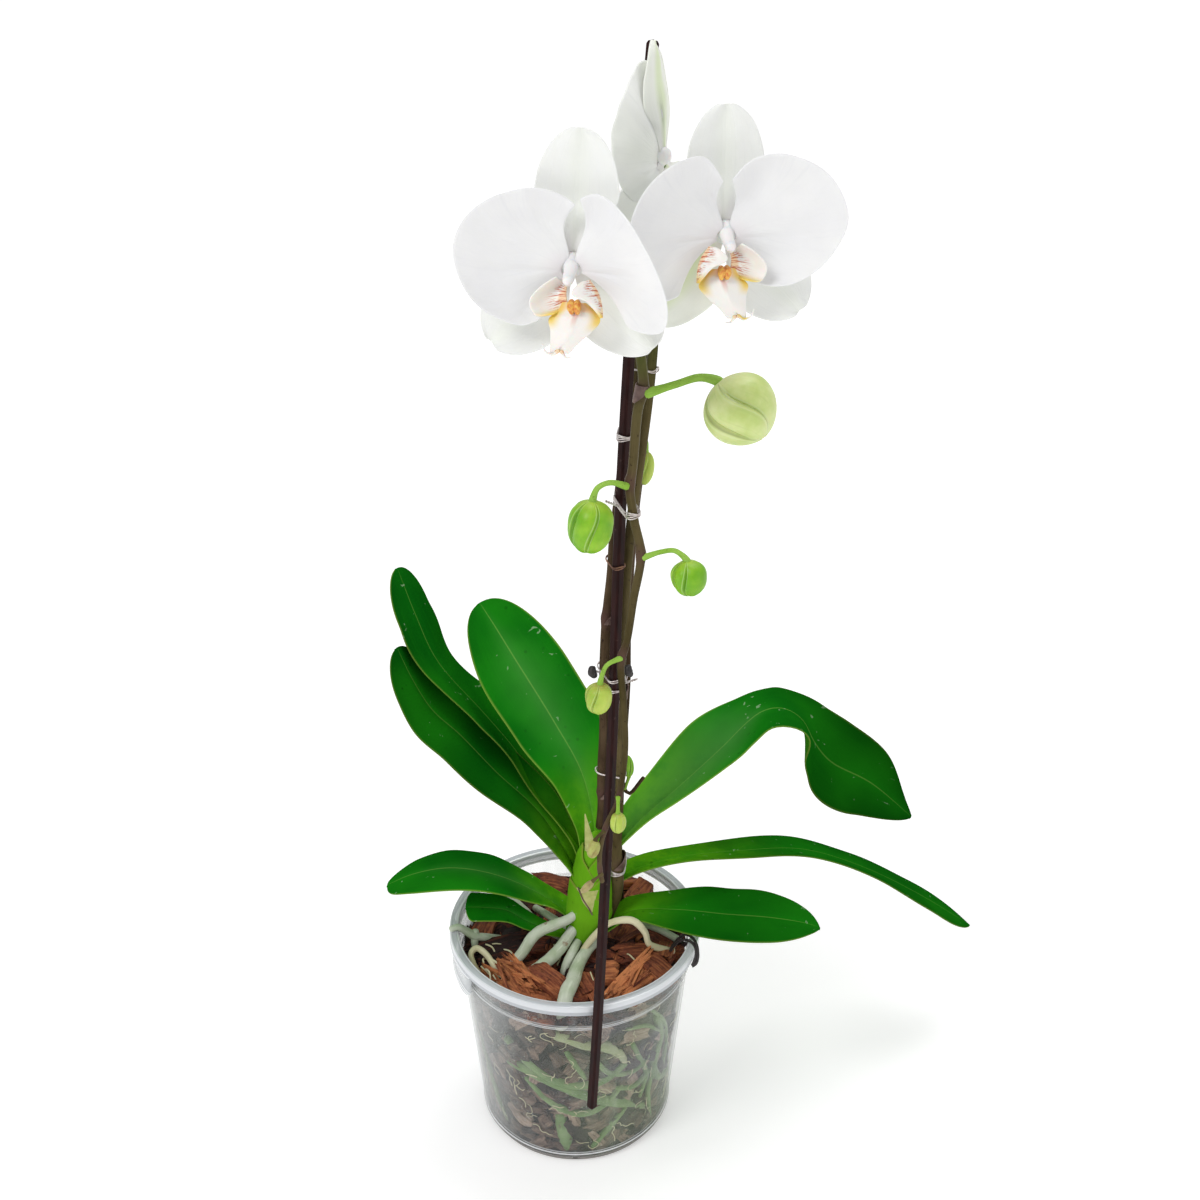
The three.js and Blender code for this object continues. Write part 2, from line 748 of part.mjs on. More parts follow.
// The lip: a waisted middle lobe with two tendrils, two side lobes and the callus between.
function makeLip() {
  const middle = sheet({
    rows: 5,
    cols: 4,
    at: (u, v) => {
      const side = 2 * v - 1;
      const half = along([3.5, 4.5, 8, 7.5, 5, 3, 1.8], u);
      const across = side * half;
      const rise = along([-9.1, -12.5, -16, -20, -24, -28, -31], u);
      const out = along([7, 9, 11, 12, 12, 10.5, 8.5], u) - 3.2 * side * side * Math.sin(Math.PI * u);
      return new THREE.Vector3(across, rise, out);
    },
    thick: () => 1.1,
  });
  const sideLobe = (side) =>
    sheet({
      rows: 2,
      cols: 4,
      at: (u, v) => {
        const base = new THREE.Vector3(3.3, mix(-9.6, -14, v), mix(7, 10, v));
        const out = along([4, 8.5, 10, 10.5, 9.5, 6], v);
        const rise = along([6.5, 6.5, 4, 0.5, -2.5, -4], v);
        const fore = along([4, 5.5, 5, 3.5, 1.5, 0], v);
        base.add(new THREE.Vector3(out * u, rise * u, fore * u));
        base.z += 2 * Math.sin(Math.PI * u);
        base.x *= side;
        return base;
      },
      thick: () => 1.1,
    });
  const tendril = (side) =>
    stem({
      way: [[0.8 * side, -30, 9], [2.4 * side, -33, 9], [5.4 * side, -33.5, 10.4], [7.6 * side, -31, 11]],
      radii: [0.8, 0.6, 0.45],
      sides: 4,
      steps: 3,
    });
  return joined([
    middle,
    sideLobe(-1),
    sideLobe(1),
    ball([0, -12.5, 9.6], [3.4, 2.6, 2.2], 6, 4),
    tendril(-1),
    tendril(1),
  ]);
}

// ---- ties ----
// Wire rings round two upright stems at one height, wound once or twice. slack: the room from a
// stem's middle to the wire. tail: the side that a twisted end points to. hanging: true where the
// first stem is held on its way down.
const ties = {
  tie_1: { round: ["spike_1", "stake_2"], height: 152, turns: 2, slack: 3.4 },
  tie_2: { round: ["spike_2", "spike_1"], height: 223, turns: 1, slack: 3 },
  tie_3: { round: ["spike_2", "stake_1"], height: 291, turns: 1, slack: 2.8, tail: -1 },
  tie_4: { round: ["spike_1", "stake_1"], height: 286, turns: 1, slack: 2.8, tail: 1 },
  tie_5: { round: ["spike_2", "stake_1"], height: 343, turns: 1, slack: 2.6 },
  tie_6: { round: ["spike_1", "stake_1"], height: 373, turns: 2, slack: 2.8, tail: 1, hanging: true },
  tie_7: { round: ["spike_2", "stake_1"], height: 399, turns: 2, slack: 2.8 },
  tie_8: { round: ["spike_1", "spike_2"], height: 425, turns: 1, slack: 2.7 },
};
const tailLength = 6;
const upright = { ...spikes, stake_1: longStake, stake_2: shortStake };

// Where a stem passes a height, on its way up or on its way down.
function passing({ way }, height, hanging) {
  const points = new THREE.CatmullRomCurve3(way.map(vector), false, "centripetal").getSpacedPoints(400);
  const found = hanging ? points.findLast((p) => p.z > height) : points.find((p) => p.z > height);
  return found.clone().setZ(height);
}

function makeTie({ round, height, turns, slack, tail, hanging = false }) {
  const from = passing(upright[round[0]], height, hanging);
  const to = passing(upright[round[1]], height, false);
  const line = to.clone().sub(from).normalize();
  const side = new THREE.Vector3(-line.y, line.x, 0);
  const radius = slack + tieWire;
  const bend = 4;
  const sides = 4;
  const loop = [];
  for (const [middle, start] of [[to, -Math.PI / 2], [from, Math.PI / 2]]) {
    for (let i = 0; i <= bend; i++) {
      const turn = start + (Math.PI * i) / bend;
      const out = line.clone().multiplyScalar(Math.cos(turn)).addScaledVector(side, Math.sin(turn));
      loop.push({ point: middle.clone().addScaledVector(out, radius), out });
    }
  }
  const points = loop.flatMap(({ point, out }) =>
    Array.from({ length: sides }, (_, j) => {
      const turn = (2 * Math.PI * j) / sides;
      const wire = out.clone().multiplyScalar(tieWire * Math.cos(turn));
      wire.z = tieWire * turns * Math.sin(turn);
      return wire.add(point);
    }),
  );
  const count = points.length;
  const index = [];
  for (let i = 0; i < loop.length; i++) {
    for (let j = 0; j < sides; j++) {
      const here = i * sides + j;
      const beside = i * sides + ((j + 1) % sides);
      const ahead = (here + sides) % count;
      const across = (beside + sides) % count;
      index.push(here, beside, across, here, across, ahead);
    }
  }
  const ring = solidOf(meshOf(points, index));
  if (!tail) {
    return ring;
  }
  const start = from.clone().lerp(to, 0.5).addScaledVector(side, radius * tail);
  const end = start.clone().addScaledVector(side, tailLength * tail).setZ(height + tailLength / 2);
  const way = [start.toArray(), end.toArray()];
  return ring.add(stem({ way, radii: [tieWire, 0.8 * tieWire], sides: 4, steps: 1 }));
}

// A black cord hooked over the rim: in at the bark, over the flange and down outside.
const cordAngle = radians(-8);
const cordRadius = 1.2;
function makeRimCord() {
  const inside = [[56, 100], [57.5, 112], [58.6, 122.4]];
  const outside = [[62.6, 123.2], [67, 121.4], [67.6, 115], [67.4, 108]];
  const way = [...inside, ...outside].map(([reach, z]) => [
    reach * Math.cos(cordAngle),
    reach * Math.sin(cordAngle),
    z,
  ]);
  return stem({ way, radii: [cordRadius], sides: 5, steps: 9 });
}

// ---- bark ----
function makeBark() {
  const random = seeded(7);
  const rows = [2.4, 14, 30, 46, 62, 78, 92, barkTop - 1, barkTop + barkMound];
  const sides = 14;
  const core = skin(
    rows.map((z, i) => {
      const share = [0.96, 1, 1, 1, 1, 1, 1, 0.98, 0.3][i];
      return Array.from({ length: sides }, (_, j) => {
        const turn = (2 * Math.PI * j) / sides;
        const dent = 1 - 0.06 * random();
        const reach = (boreRadius(z) - 2 * clearance) * share * dent;
        const bump = i > 6 ? 2 * random() : 0;
        return new THREE.Vector3(reach * Math.cos(turn), reach * Math.sin(turn), z + bump);
      });
    }),
  );
  const chips = Array.from({ length: chipCount }, (_, i) => {
    const reach = 54 * Math.sqrt((i + 0.5) / chipCount);
    const turn = i * 2.4;
    const chip = new THREE.BoxGeometry(mix(15, 28, random()), mix(9, 14, random()), mix(5, 9, random()));
    const corners = chip.getAttribute("position");
    const skew = mix(-0.25, 0.25, random());
    for (let k = 0; k < corners.count; k++) {
      corners.setX(k, corners.getX(k) * (1 + skew * Math.sign(corners.getY(k))));
      corners.setZ(k, corners.getZ(k) * (1 - skew * Math.sign(corners.getX(k))));
    }
    chip.rotateX(radians(mix(-24, 24, random())));
    chip.rotateY(radians(mix(-24, 24, random())));
    chip.rotateZ(Math.PI * random());
    const level = barkTop + 1 + barkMound * (1 - reach / 54) + mix(-1, 1.5, random());
    chip.translate(reach * Math.cos(turn), reach * Math.sin(turn), level);
    return solidOf(chip);
  });
  const bore = lathe(
    [
      [0, 2.2],
      [boreRadius(2.2) - 2 - clearance, 2.2],
      [boreRadius(shoulderHeight - 1) - clearance, shoulderHeight - 1],
      [boreRadius(shoulderHeight - 1) - clearance, potHeight + 4],
      [0, potHeight + 4],
    ],
    potSides,
  );
  return joined([core, ...chips]).intersect(bore);
}

// ---- the whole plant ----
addPiece("pot", makePot(), clearPlastic);

const crown = makeCrown();
const wideCrown = makeCrown(clearance);
addPiece("crown", crown, crownGreen);

const spikeSolids = Object.values(spikes).map((spec) => stem(spec));
const wideSpikes = Object.values(spikes).map((spec) => stem({ ...spec, grow: clearance }));
const wideStakes = [longStake, shortStake].map((spec) => stem({ ...spec, grow: clearance }));
addPiece("stake_1", stem(longStake), stakeBrown);
addPiece("stake_2", stem(shortStake), stakeBrown);
Object.keys(spikes).forEach((name, i) => {
  addPiece(name, clearOf(spikeSolids[i], [wideCrown, ...wideStakes]), spikeBrown);
});

// Inner leaves keep their whole base, and each outer one is cut clear of them.
const wideLeaves = [];
for (const [name, spec] of Object.entries(leaves).reverse()) {
  const inner = [wideCrown, ...wideSpikes, ...wideStakes, ...wideLeaves];
  addPiece(name, clearOf(makeLeaf(spec), inner), leafGreen);
  wideLeaves.push(makeLeaf(spec, clearance));
}

const wideRoots = [];
for (const [name, spec] of Object.entries(roots)) {
  const inner = [wideCrown, ...wideSpikes, ...wideLeaves, ...wideRoots];
  addPiece(name, clearOf(makeRoot(spec), inner), rootGreen);
  wideRoots.push(makeRoot(spec, clearance));
}
for (const [name, spec] of Object.entries(wallRoots)) {
  addPiece(name, clearOf(makeWallRoot(spec), wideRoots), rootGreen);
  wideRoots.push(makeWallRoot(spec, clearance));
}

const inBark = [wideCrown, ...wideSpikes, ...wideStakes, ...wideLeaves, ...wideRoots];
const rimCord = makeRimCord();
addPiece("bark", clearOf(makeBark(), [...inBark, rimCord]), barkBrown);
addPiece("rim_cord", rimCord, cordBlack);
for (const [name, spec] of Object.entries(ties)) {
  addPiece(name, makeTie(spec), wireSilver);
}

for (const [name, spec] of Object.entries(buds)) {
  addPiece(name, clearOf(makeBud(spec), wideSpikes), budGreen);
}

for (const [name, spec] of Object.entries(flowers)) {
  const frame = flowerFrame(spec).elements;
  const way = [...spec.stalk, spec.centre];
  const stalk = stem({ way, radii: [1.7, 1.4, 1.6, 2.2], sides: 5, steps: 5 });
  const tepals = makeTepals(spec).transform(frame).add(stalk);
  const lip = makeLip().transform(frame);
  addPiece(name + "_tepals", clearOf(tepals, [...wideSpikes, ...wideStakes]), petalWhite);
  addPiece(name + "_lip", lip, lipYellow);
}

export default orchid;
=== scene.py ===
# A white moth orchid in a clear nursery pot, dressed for the camera.
# Lists of places and sizes are in millimetres, +Z up, +Y from the front of the pot to its back.
import random
from bisect import bisect_right
from math import atan2, cos, degrees, exp, hypot, pi, radians, sin, sqrt

import bpy
from mathutils import Euler, Matrix, Vector, noise
from mathutils.geometry import interpolate_bezier


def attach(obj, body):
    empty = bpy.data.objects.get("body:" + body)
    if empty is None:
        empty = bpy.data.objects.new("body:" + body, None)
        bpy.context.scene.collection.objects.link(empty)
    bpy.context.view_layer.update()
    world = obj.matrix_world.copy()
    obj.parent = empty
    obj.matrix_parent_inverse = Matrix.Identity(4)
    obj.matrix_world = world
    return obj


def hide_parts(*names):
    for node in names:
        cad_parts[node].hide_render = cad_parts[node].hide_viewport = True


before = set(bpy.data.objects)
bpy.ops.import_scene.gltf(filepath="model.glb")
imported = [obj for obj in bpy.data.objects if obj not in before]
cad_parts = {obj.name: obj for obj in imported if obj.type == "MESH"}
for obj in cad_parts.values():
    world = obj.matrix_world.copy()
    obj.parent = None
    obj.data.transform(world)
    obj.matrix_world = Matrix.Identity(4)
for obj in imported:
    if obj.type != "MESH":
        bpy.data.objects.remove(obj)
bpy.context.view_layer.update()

mm = 0.001


def clearSelection():
    bpy.ops.object.select_all(action="DESELECT")


def only(piece):
    clearSelection()
    piece.select_set(True)
    bpy.context.view_layer.objects.active = piece


def modify(piece, kind, **settings):
    only(piece)
    added = piece.modifiers.new(kind.lower(), kind)
    for name, value in settings.items():
        setattr(added, name, value)
    bpy.ops.object.modifier_apply(modifier=added.name)


def rounded(piece, levels=1):
    modify(piece, "SUBSURF", levels=levels, render_levels=levels)


def thicken(piece, thickness, offset=0, **settings):
    modify(piece, "SOLIDIFY", thickness=thickness * mm, offset=offset, **settings)


def closeSeams(piece):
    only(piece)
    bpy.ops.object.mode_set(mode="EDIT")
    bpy.ops.mesh.select_all(action="SELECT")
    bpy.ops.mesh.remove_doubles(threshold=0.002 * mm)
    bpy.ops.mesh.normals_make_consistent(inside=False)
    bpy.ops.object.mode_set(mode="OBJECT")


def shadeSmooth(piece, angle=70):
    only(piece)
    bpy.ops.object.shade_smooth_by_angle(angle=radians(angle))


def joined(name, parts):
    clearSelection()
    for part in parts:
        part.select_set(True)
    bpy.context.view_layer.objects.active = parts[0]
    if len(parts) > 1:
        bpy.ops.object.join()
    parts[0].name = parts[0].data.name = name
    return parts[0]


def paint(piece, *finishes):
    piece.data.materials.clear()
    for finish in finishes:
        piece.data.materials.append(finish)


# A number kept on every corner, for a finish to read
def markCorners(piece, name, values):
    piece.data.attributes.new(name, "FLOAT", "POINT").data.foreach_set("value", values)


def settle(piece, slot, *nodes):
    only(piece)
    bpy.ops.object.transform_apply(location=True, rotation=True, scale=True)
    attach(piece, "root")
    if nodes:
        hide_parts(*nodes)


def mix(a, b, share):
    return a + (b - a) * share


def clamp(value, low=0.0, high=1.0):
    return max(low, min(high, value))


def smooth(x):
    x = clamp(x)
    return x * x * (3 - 2 * x)


# 1 at the middle of a bump, falling to nothing beyond its width
def hump(away, width):
    return exp(-((away / width) ** 2))


# The value at a share (0 to 1) along a list of evenly spaced values
def along(values, share):
    if len(values) == 1:
        return values[0]
    place = clamp(share) * (len(values) - 1)
    step = min(int(place), len(values) - 2)
    return mix(values[step], values[step + 1], place - step)


# The same, through the values in one smooth line
def flowing(values, share):
    place = clamp(share) * (len(values) - 1)
    step = min(int(place), len(values) - 2)
    a, b = values[step], values[step + 1]
    before = values[max(step - 1, 0)]
    after = values[min(step + 2, len(values) - 1)]
    t = place - step
    bend = (b - before) / 2 * (t - 2 * t * t + t * t * t) + (after - a) / 2 * (t * t * t - t * t)
    return mix(a, b, smooth(t)) + bend


# A point by its turn about the pot's axis, its reach and its height
def aroundPot(turn, reach, z):
    return (reach * cos(turn), reach * sin(turn), z)


# A smooth way through given points, read by the share of its length
class Way:
    def __init__(self, points):
        knots = [Vector(point) * mm for point in points]
        knots = [2 * knots[0] - knots[1], *knots, 2 * knots[-1] - knots[-2]]
        self.line = []
        for before, start, end, after in zip(knots, knots[1:], knots[2:], knots[3:]):
            a = sqrt((start - before).length)
            b = sqrt((end - start).length)
            c = sqrt((after - end).length)
            out = a * a * end - b * b * before + (2 * a * a + 3 * a * b + b * b) * start
            back = c * c * start - b * b * after + (2 * c * c + 3 * c * b + b * b) * end
            out /= 3 * a * (a + b)
            back /= 3 * c * (c + b)
            self.line += interpolate_bezier(start, out, back, end, 17)[:-1]
        self.line.append(knots[-2])
        self.marks = [0]
        for here, there in zip(self.line, self.line[1:]):
            self.marks.append(self.marks[-1] + (there - here).length)
        self.length = self.marks[-1]

    def at(self, share):
        reach = clamp(share) * self.length
        i = int(clamp(bisect_right(self.marks, reach), 1, len(self.line) - 1))
        part = (reach - self.marks[i - 1]) / (self.marks[i] - self.marks[i - 1])
        return self.line[i - 1].lerp(self.line[i], part)

    def run(self, share):
        return (self.at(share + 0.004) - self.at(share - 0.004)).normalized()

    def nearest(self, point):
        shares = [step / 600 for step in range(601)]
        return min(shares, key=lambda share: (self.at(share) - point).length)


# A grid whose corners are all put in place by place(across, along), both from 0 to 1
def placedGrid(name, across, rows, place):
    clearSelection()
    bpy.ops.mesh.primitive_grid_add(x_subdivisions=across, y_subdivisions=rows, size=1, calc_uvs=True)
    piece = bpy.context.object
    piece.name = piece.data.name = name
    for corner in piece.data.vertices:
        corner.co = place(corner.co.x + 0.5, corner.co.y + 0.5)
    return piece


# A round stem along a way, closed and domed at both ends. radii: a list along it in millimetres,
# or a function of the share of its length and the turn that gives metres.
def tube(name, way, radii, sides, steps, finish):
    runs = [way.run(step / steps) for step in range(steps + 1)]
    side = runs[0].orthogonal().normalized()
    frames = []
    for run in runs:
        side = (side - run * side.dot(run)).normalized()
        frames.append((side, run.cross(side), run))

    def place(u, v):
        row = round(v * (steps + 4))
        step = int(clamp(row - 2, 0, steps))
        side, over, run = frames[step]
        turn = 2 * pi * u
        share = step / steps
        radius = radii(share, turn) if callable(radii) else along(radii, share) * mm
        end = 2 - row if row < 2 else row - steps - 2
        shift = 0
        if row < 2 or row > steps + 2:  # the dome: one ring, then its middle
            shift = (-1 if row < 2 else 1) * radius * (0.42 if end == 1 else 0.62)
            radius *= 0.72 if end == 1 else 0
        return way.at(share) + run * shift + (side * cos(turn) + over * sin(turn)) * radius

    piece = placedGrid(name, sides, steps + 4, place)
    closeSeams(piece)
    shadeSmooth(piece)
    paint(piece, finish)
    return piece


def scaled(colour, by):
    return tuple(c * by for c in colour)


# One node material; every call adds a node and gives back its main output
class Finish:
    def __init__(self, name):
        self.material = bpy.data.materials.new(name)
        self.material.use_nodes = True
        self.tree = self.material.node_tree
        self.tree.nodes.clear()
        coordinates = self.node("TexCoord").outputs
        self.place, self.uv = coordinates["Object"], coordinates["UV"]

    def feed(self, socket, value):
        if isinstance(value, bpy.types.NodeSocket):
            self.tree.links.new(value, socket)
        else:
            socket.default_value = value

    def node(self, kind, inputs=None, **settings):
        made = self.tree.nodes.new("ShaderNode" + kind)
        for name, value in settings.items():
            setattr(made, name, value)
        for socket, value in (inputs or {}).items():
            self.feed(made.inputs[socket], value)
        return made

    def attribute(self, name, output="Fac"):
        return self.node("Attribute", attribute_name=name, attribute_type="GEOMETRY").outputs[output]

    def axes(self, vector):
        return self.node("SeparateXYZ", {0: vector}).outputs

    def length(self, vector):
        return self.node("VectorMath", {0: vector}, operation="LENGTH").outputs["Value"]

    def stretched(self, vector, scale):
        return self.node("Mapping", {"Vector": vector, "Scale": scale}).outputs[0]

    def noise(self, scale, detail=3.0, roughness=0.5, vector=None, distortion=0.0):
        inputs = {"Vector": vector or self.place, "Scale": scale, "Detail": detail}
        inputs.update({"Roughness": roughness, "Distortion": distortion})
        return self.node("TexNoise", inputs).outputs[0]

    # Noise with a scale of its own along each axis
    def drawn(self, vector, scales, detail, roughness, distortion=0.0):
        return self.noise(1, detail, roughness, self.stretched(vector, scales), distortion)

    def cells(self, scale):
        return self.node("TexVoronoi", {"Vector": self.place, "Scale": scale}).outputs["Distance"]

    def math(self, operation, a, b=0.0, clamped=False):
        return self.node("Math", {0: a, 1: b}, operation=operation, use_clamp=clamped).outputs[0]

    def plus(self, a, b, clamped=False):
        return self.math("ADD", a, b, clamped)

    def minus(self, a, b):
        return self.math("SUBTRACT", a, b)

    def times(self, a, b, clamped=False):
        return self.math("MULTIPLY", a, b, clamped)

    def away(self, value, middle):
        return self.math("ABSOLUTE", self.minus(value, middle))

    # A value from low to high, spread smoothly from toLow to toHigh
    def spread(self, value, low, high, toLow=0.0, toHigh=1.0):
        inputs = {0: value, 1: low, 2: high, 3: toLow, 4: toHigh}
        return self.node("MapRange", inputs, interpolation_type="SMOOTHSTEP").outputs[0]

    def ramp(self, value, *stops):
        made = self.node("ValToRGB", {"Fac": value})
        points = made.color_ramp.elements
        while len(points) < len(stops):
            points.new(1)
        for point, (place, colour) in zip(points, stops):
            point.position = place
            point.color = (*colour, 1)
        return made.outputs[0]

    def blend(self, share, a, b, mode="MIX"):
        made = self.node("Mix", data_type="RGBA", blend_type=mode)
        for socket, value in ((0, share), (6, a), (7, b)):
            self.feed(made.inputs[socket], (*value, 1) if isinstance(value, tuple) else value)
        return made.outputs[2]

    # Tints laid over a colour one after the other, each by its share
    def layered(self, colour, *layers):
        for share, tint in layers:
            colour = self.blend(share, colour, tint)
        return colour

    # depth in millimetres
    def relief(self, height, depth, strength):
        return self.node("Bump", {"Height": height, "Distance": depth * mm, "Strength": strength}).outputs[0]

    def surface(self, **inputs):
        named = {name.replace("_", " "): value for name, value in inputs.items()}
        shader = self.node("BsdfPrincipled", named)
        self.node("OutputMaterial", {"Surface": shader.outputs[0]})
        return self.material


def leafFinish(name, deep, fresh, base, gloss, rib=(0.20, 0.40, 0.07), browned=0.0):
    f = Finish(name)
    across, run = f.axes(f.uv)[0], f.axes(f.uv)[1]
    fromMid = f.away(across, 0.5)
    young = f.spread(run, 0.34, 0.03)
    patches = f.spread(f.noise(70, 5, 0.65), 0.36, 0.62)
    veins = f.drawn(f.uv, (70, 2.2, 1), 2, 0.5)
    dots = f.times(f.spread(f.cells(150), 0.10, 0.16, 1, 0), f.spread(f.noise(16, 2), 0.52, 0.62))
    flecks = f.spread(f.noise(170, 3, 0.5, distortion=1.2), 0.70, 0.73, 0, 0.5)
    colour = f.layered(
        deep,
        (f.spread(f.noise(18, 3, 0.5), 0.25, 0.75), fresh),
        (f.times(young, f.plus(f.times(patches, 0.5), 0.5)), base),
        (f.spread(veins, 0.5, 0.8, 0, 0.28), fresh),
        (f.spread(fromMid, 0.006, 0.03, 0.45, 0), rib),
        (f.spread(fromMid, 0.475, 0.5, 0, 0.55), (0.30, 0.42, 0.07)),  # pale margin
        (flecks, (0.34, 0.50, 0.30)),
        (f.times(dots, 0.45), scaled(deep, 0.4)),
        (f.spread(run, 0.955, 0.99, 0, browned), (0.26, 0.17, 0.06)),  # dried top edge
    )
    # Painted light kept on each leaf's corners: below 0 it darkens the colour as painted shade, above 0 it
    # lightens it, and above 0.12 it blends in a grey-green painted sheen
    paintedShadeAndSheen = f.attribute("paintedShadeAndSheen")
    colour = f.blend(1.0, colour, f.plus(1.0, paintedShadeAndSheen), "MULTIPLY")
    colour = f.blend(f.spread(paintedShadeAndSheen, 0.12, 0.5, 0, 0.5), colour, (0.10, 0.27, 0.075))
    height = f.plus(f.times(veins, 0.5), f.times(f.noise(420, 3), 0.35))
    height = f.plus(height, f.times(dots, 0.8))
    film = f.spread(f.noise(34, 5, 0.6, distortion=0.6), 0.35, 0.7, gloss - 0.08, gloss + 0.14)
    return f.surface(
        Base_Color=colour, Roughness=film, Specular_IOR_Level=0.0, Normal=f.relief(height, 0.12, 0.5),
    )


def barkFinish(name, dark, mid, light):
    f = Finish(name)
    fibres = f.drawn(f.attribute("grain", "Vector"), (70, 900, 700), 5, 0.6, 0.5)
    blotch = f.noise(130, 5, 0.6)
    share = f.minus(f.plus(fibres, f.times(blotch, 0.7)), 0.45)
    share = f.plus(share, f.attribute("tint"), True)
    colour = f.ramp(share, (0.1, dark), (0.45, mid), (0.9, light))
    pits = f.spread(f.noise(300, 4, 0.7), 0.32, 0.44, 0.4, 1)
    return f.surface(
        Base_Color=f.blend(1.0, colour, pits, "MULTIPLY"), Specular_IOR_Level=0.25,
        Roughness=f.spread(blotch, 0.3, 0.7, 0.6, 0.9),
        Normal=f.relief(f.plus(fibres, f.times(blotch, 0.6)), 1.4, 1.0),
    )


def rootFinish(name, grey, green, scar, gloss):
    f = Finish(name)
    fine = f.noise(260, 5, 0.6)
    streaks = f.drawn(f.uv, (14, 5, 1), 4, 0.6)
    scars = f.spread(f.noise(130, 4, 0.7, distortion=0.4), 0.62, 0.70)
    rings = f.drawn(f.uv, (2, 46, 1), 3, 0.6)
    colour = f.layered(
        grey,
        (f.spread(f.noise(60, 4, 0.55), 0.35, 0.68), green),
        (f.spread(streaks, 0.52, 0.75, 0, 0.5), scaled(grey, 1.35)),
        (f.times(scars, 0.75), scar),
        (f.spread(f.axes(f.uv)[1], 0.86, 1.0, 0, 0.35), scar),
    )
    height = f.plus(f.times(fine, 0.6), f.times(rings, 0.5))
    height = f.minus(height, f.times(scars, 0.4))
    return f.surface(
        Base_Color=colour, Roughness=f.spread(fine, 0.3, 0.7, gloss, gloss + 0.2),
        Specular_IOR_Level=0.35, Normal=f.relief(height, 0.4, 0.7),
    )


# Places on the pot where its plastic changes, each as where a look begins and where it is full
plastic = {
    # foot: the band painted dark as the floor's contact shadow seen through the plastic
    "wall": (114.5, 113.5), "foot": (5.6, 3.0), "tab": (61.2, 62.0), "flangeTop": (116.5, 117.5),
    # the first of these two whitens the left side as a painted reflection
    "paintedReflectionAtLeft": (-25, -55), "greenAtRight": (-30, 20),
    # moulded edges, painted as bright lines (painted highlights): what is measured, their middle, half their
    # width, how strong they are
    "lines": [
        ("height", 114.4, 0.6, 0.45), ("height", 100.9, 0.6, 0.7), ("height", 103, 0.6, 0.35),
        ("height", 6.3, 0.7, 0.7), ("reach", 64.7, 0.7, 0.30), ("reach", 60.9, 0.7, 0.32),
    ],
}


def clearPlasticFinish():
    f = Finish("clearPlastic")
    x, _, height = f.axes(f.place)
    reach = f.length(f.stretched(f.place, (1, 1, 0)))

    def over(place, value, toLow=0.0, toHigh=1.0):
        low, high = plastic[place]
        return f.spread(value, low * mm, high * mm, toLow, toHigh)

    haze = f.noise(26, 4, 0.6, f.stretched(f.place, (1, 1, 0.22)))
    drops = f.times(f.spread(f.cells(420), 0.10, 0.17, 1, 0), f.spread(f.noise(34, 3), 0.46, 0.60))
    marks = f.spread(f.drawn(f.place, (110, 110, 9), 4, 0.6), 0.60, 0.74, 0, 0.15)
    marks = f.plus(marks, f.times(drops, 0.6))
    marks = f.plus(marks, f.spread(haze, 0.35, 0.75, 0.05, 0.16))
    # painted reflection: the left side, towards the key lamp, is made whiter and more opaque
    marks = f.plus(marks, over("paintedReflectionAtLeft", x, 0, 0.28))
    wall = over("wall", height)
    flange = f.minus(1.0, wall)
    tab = f.times(over("tab", reach), wall)
    # the foot band is made dark and nearly opaque: painted shadow
    foot = over("foot", height)
    facing = f.node("LayerWeight", {"Blend": 0.3}).outputs["Facing"]
    alpha = f.blend(tab, f.times(marks, wall), (0.5, 0.5, 0.5))
    alpha = f.plus(alpha, f.times(flange, 0.60))
    alpha = f.plus(alpha, f.times(f.math("POWER", facing, 2.6), 0.42))
    alpha = f.plus(f.times(alpha, f.minus(1.0, foot)), f.times(foot, 0.72))
    # painted highlights: bright lines along the moulded edges
    lines = 0.0
    for kind, middle, half, strength in plastic["lines"]:
        away = f.away(height if kind == "height" else reach, middle * mm)
        line = f.spread(away, half * mm, half * mm * 0.5, 0, strength)
        if kind == "reach":
            line = f.times(line, over("flangeTop", height))
        alpha = f.plus(alpha, line, True)
        lines = f.plus(lines, line)
    green = f.times(f.spread(f.noise(24, 3), 0.42, 0.6), over("greenAtRight", x, 0.1, 0.7))
    colour = f.layered(
        (0.62, 0.64, 0.64),
        (green, (0.42, 0.52, 0.32)),
        (tab, (0.55, 0.58, 0.60)),
        (flange, (0.64, 0.67, 0.71)),
        # painted highlights along the moulded edges
        (f.times(lines, 2.0, True), (0.80, 0.82, 0.84)),
        # painted shadow: the floor's contact shadow seen through the foot
        (foot, (0.16, 0.14, 0.12)),
    )
    return f.surface(
        Base_Color=colour, Alpha=alpha, Roughness=f.spread(haze, 0.3, 0.7, 0.10, 0.24),
        Specular_IOR_Level=0.75, Normal=f.relief(f.drawn(f.place, (60, 60, 14), 2, 0.5), 0.8, 0.12),
    )


def stemFinish(name, low, high, speck, gloss=0.42):
    f = Finish(name)
    cloud = f.noise(55, 4, 0.6, f.stretched(f.place, (1, 1, 0.3)))
    ribs = f.drawn(f.uv, (16, 8, 1), 4, 0.6)
    specks = f.spread(f.noise(520, 4, 0.7), 0.60, 0.68)
    colour = f.layered(
        low,
        (f.spread(cloud, 0.34, 0.68), high),
        (f.spread(f.axes(f.place)[2], 0.40, 0.50, 0, 0.5), (0.17, 0.26, 0.06)),  # greener at the top
        (f.spread(ribs, 0.5, 0.8, 0, 0.4), scaled(high, 1.5)),
        (f.times(specks, 0.8), speck),
        (f.times(f.attribute("joint"), 0.75), (0.10, 0.045, 0.05)),
    )
    return f.surface(
        Base_Color=colour, Roughness=gloss, Specular_IOR_Level=0.04,
        Normal=f.relief(f.plus(ribs, specks), 0.2, 0.6),
    )


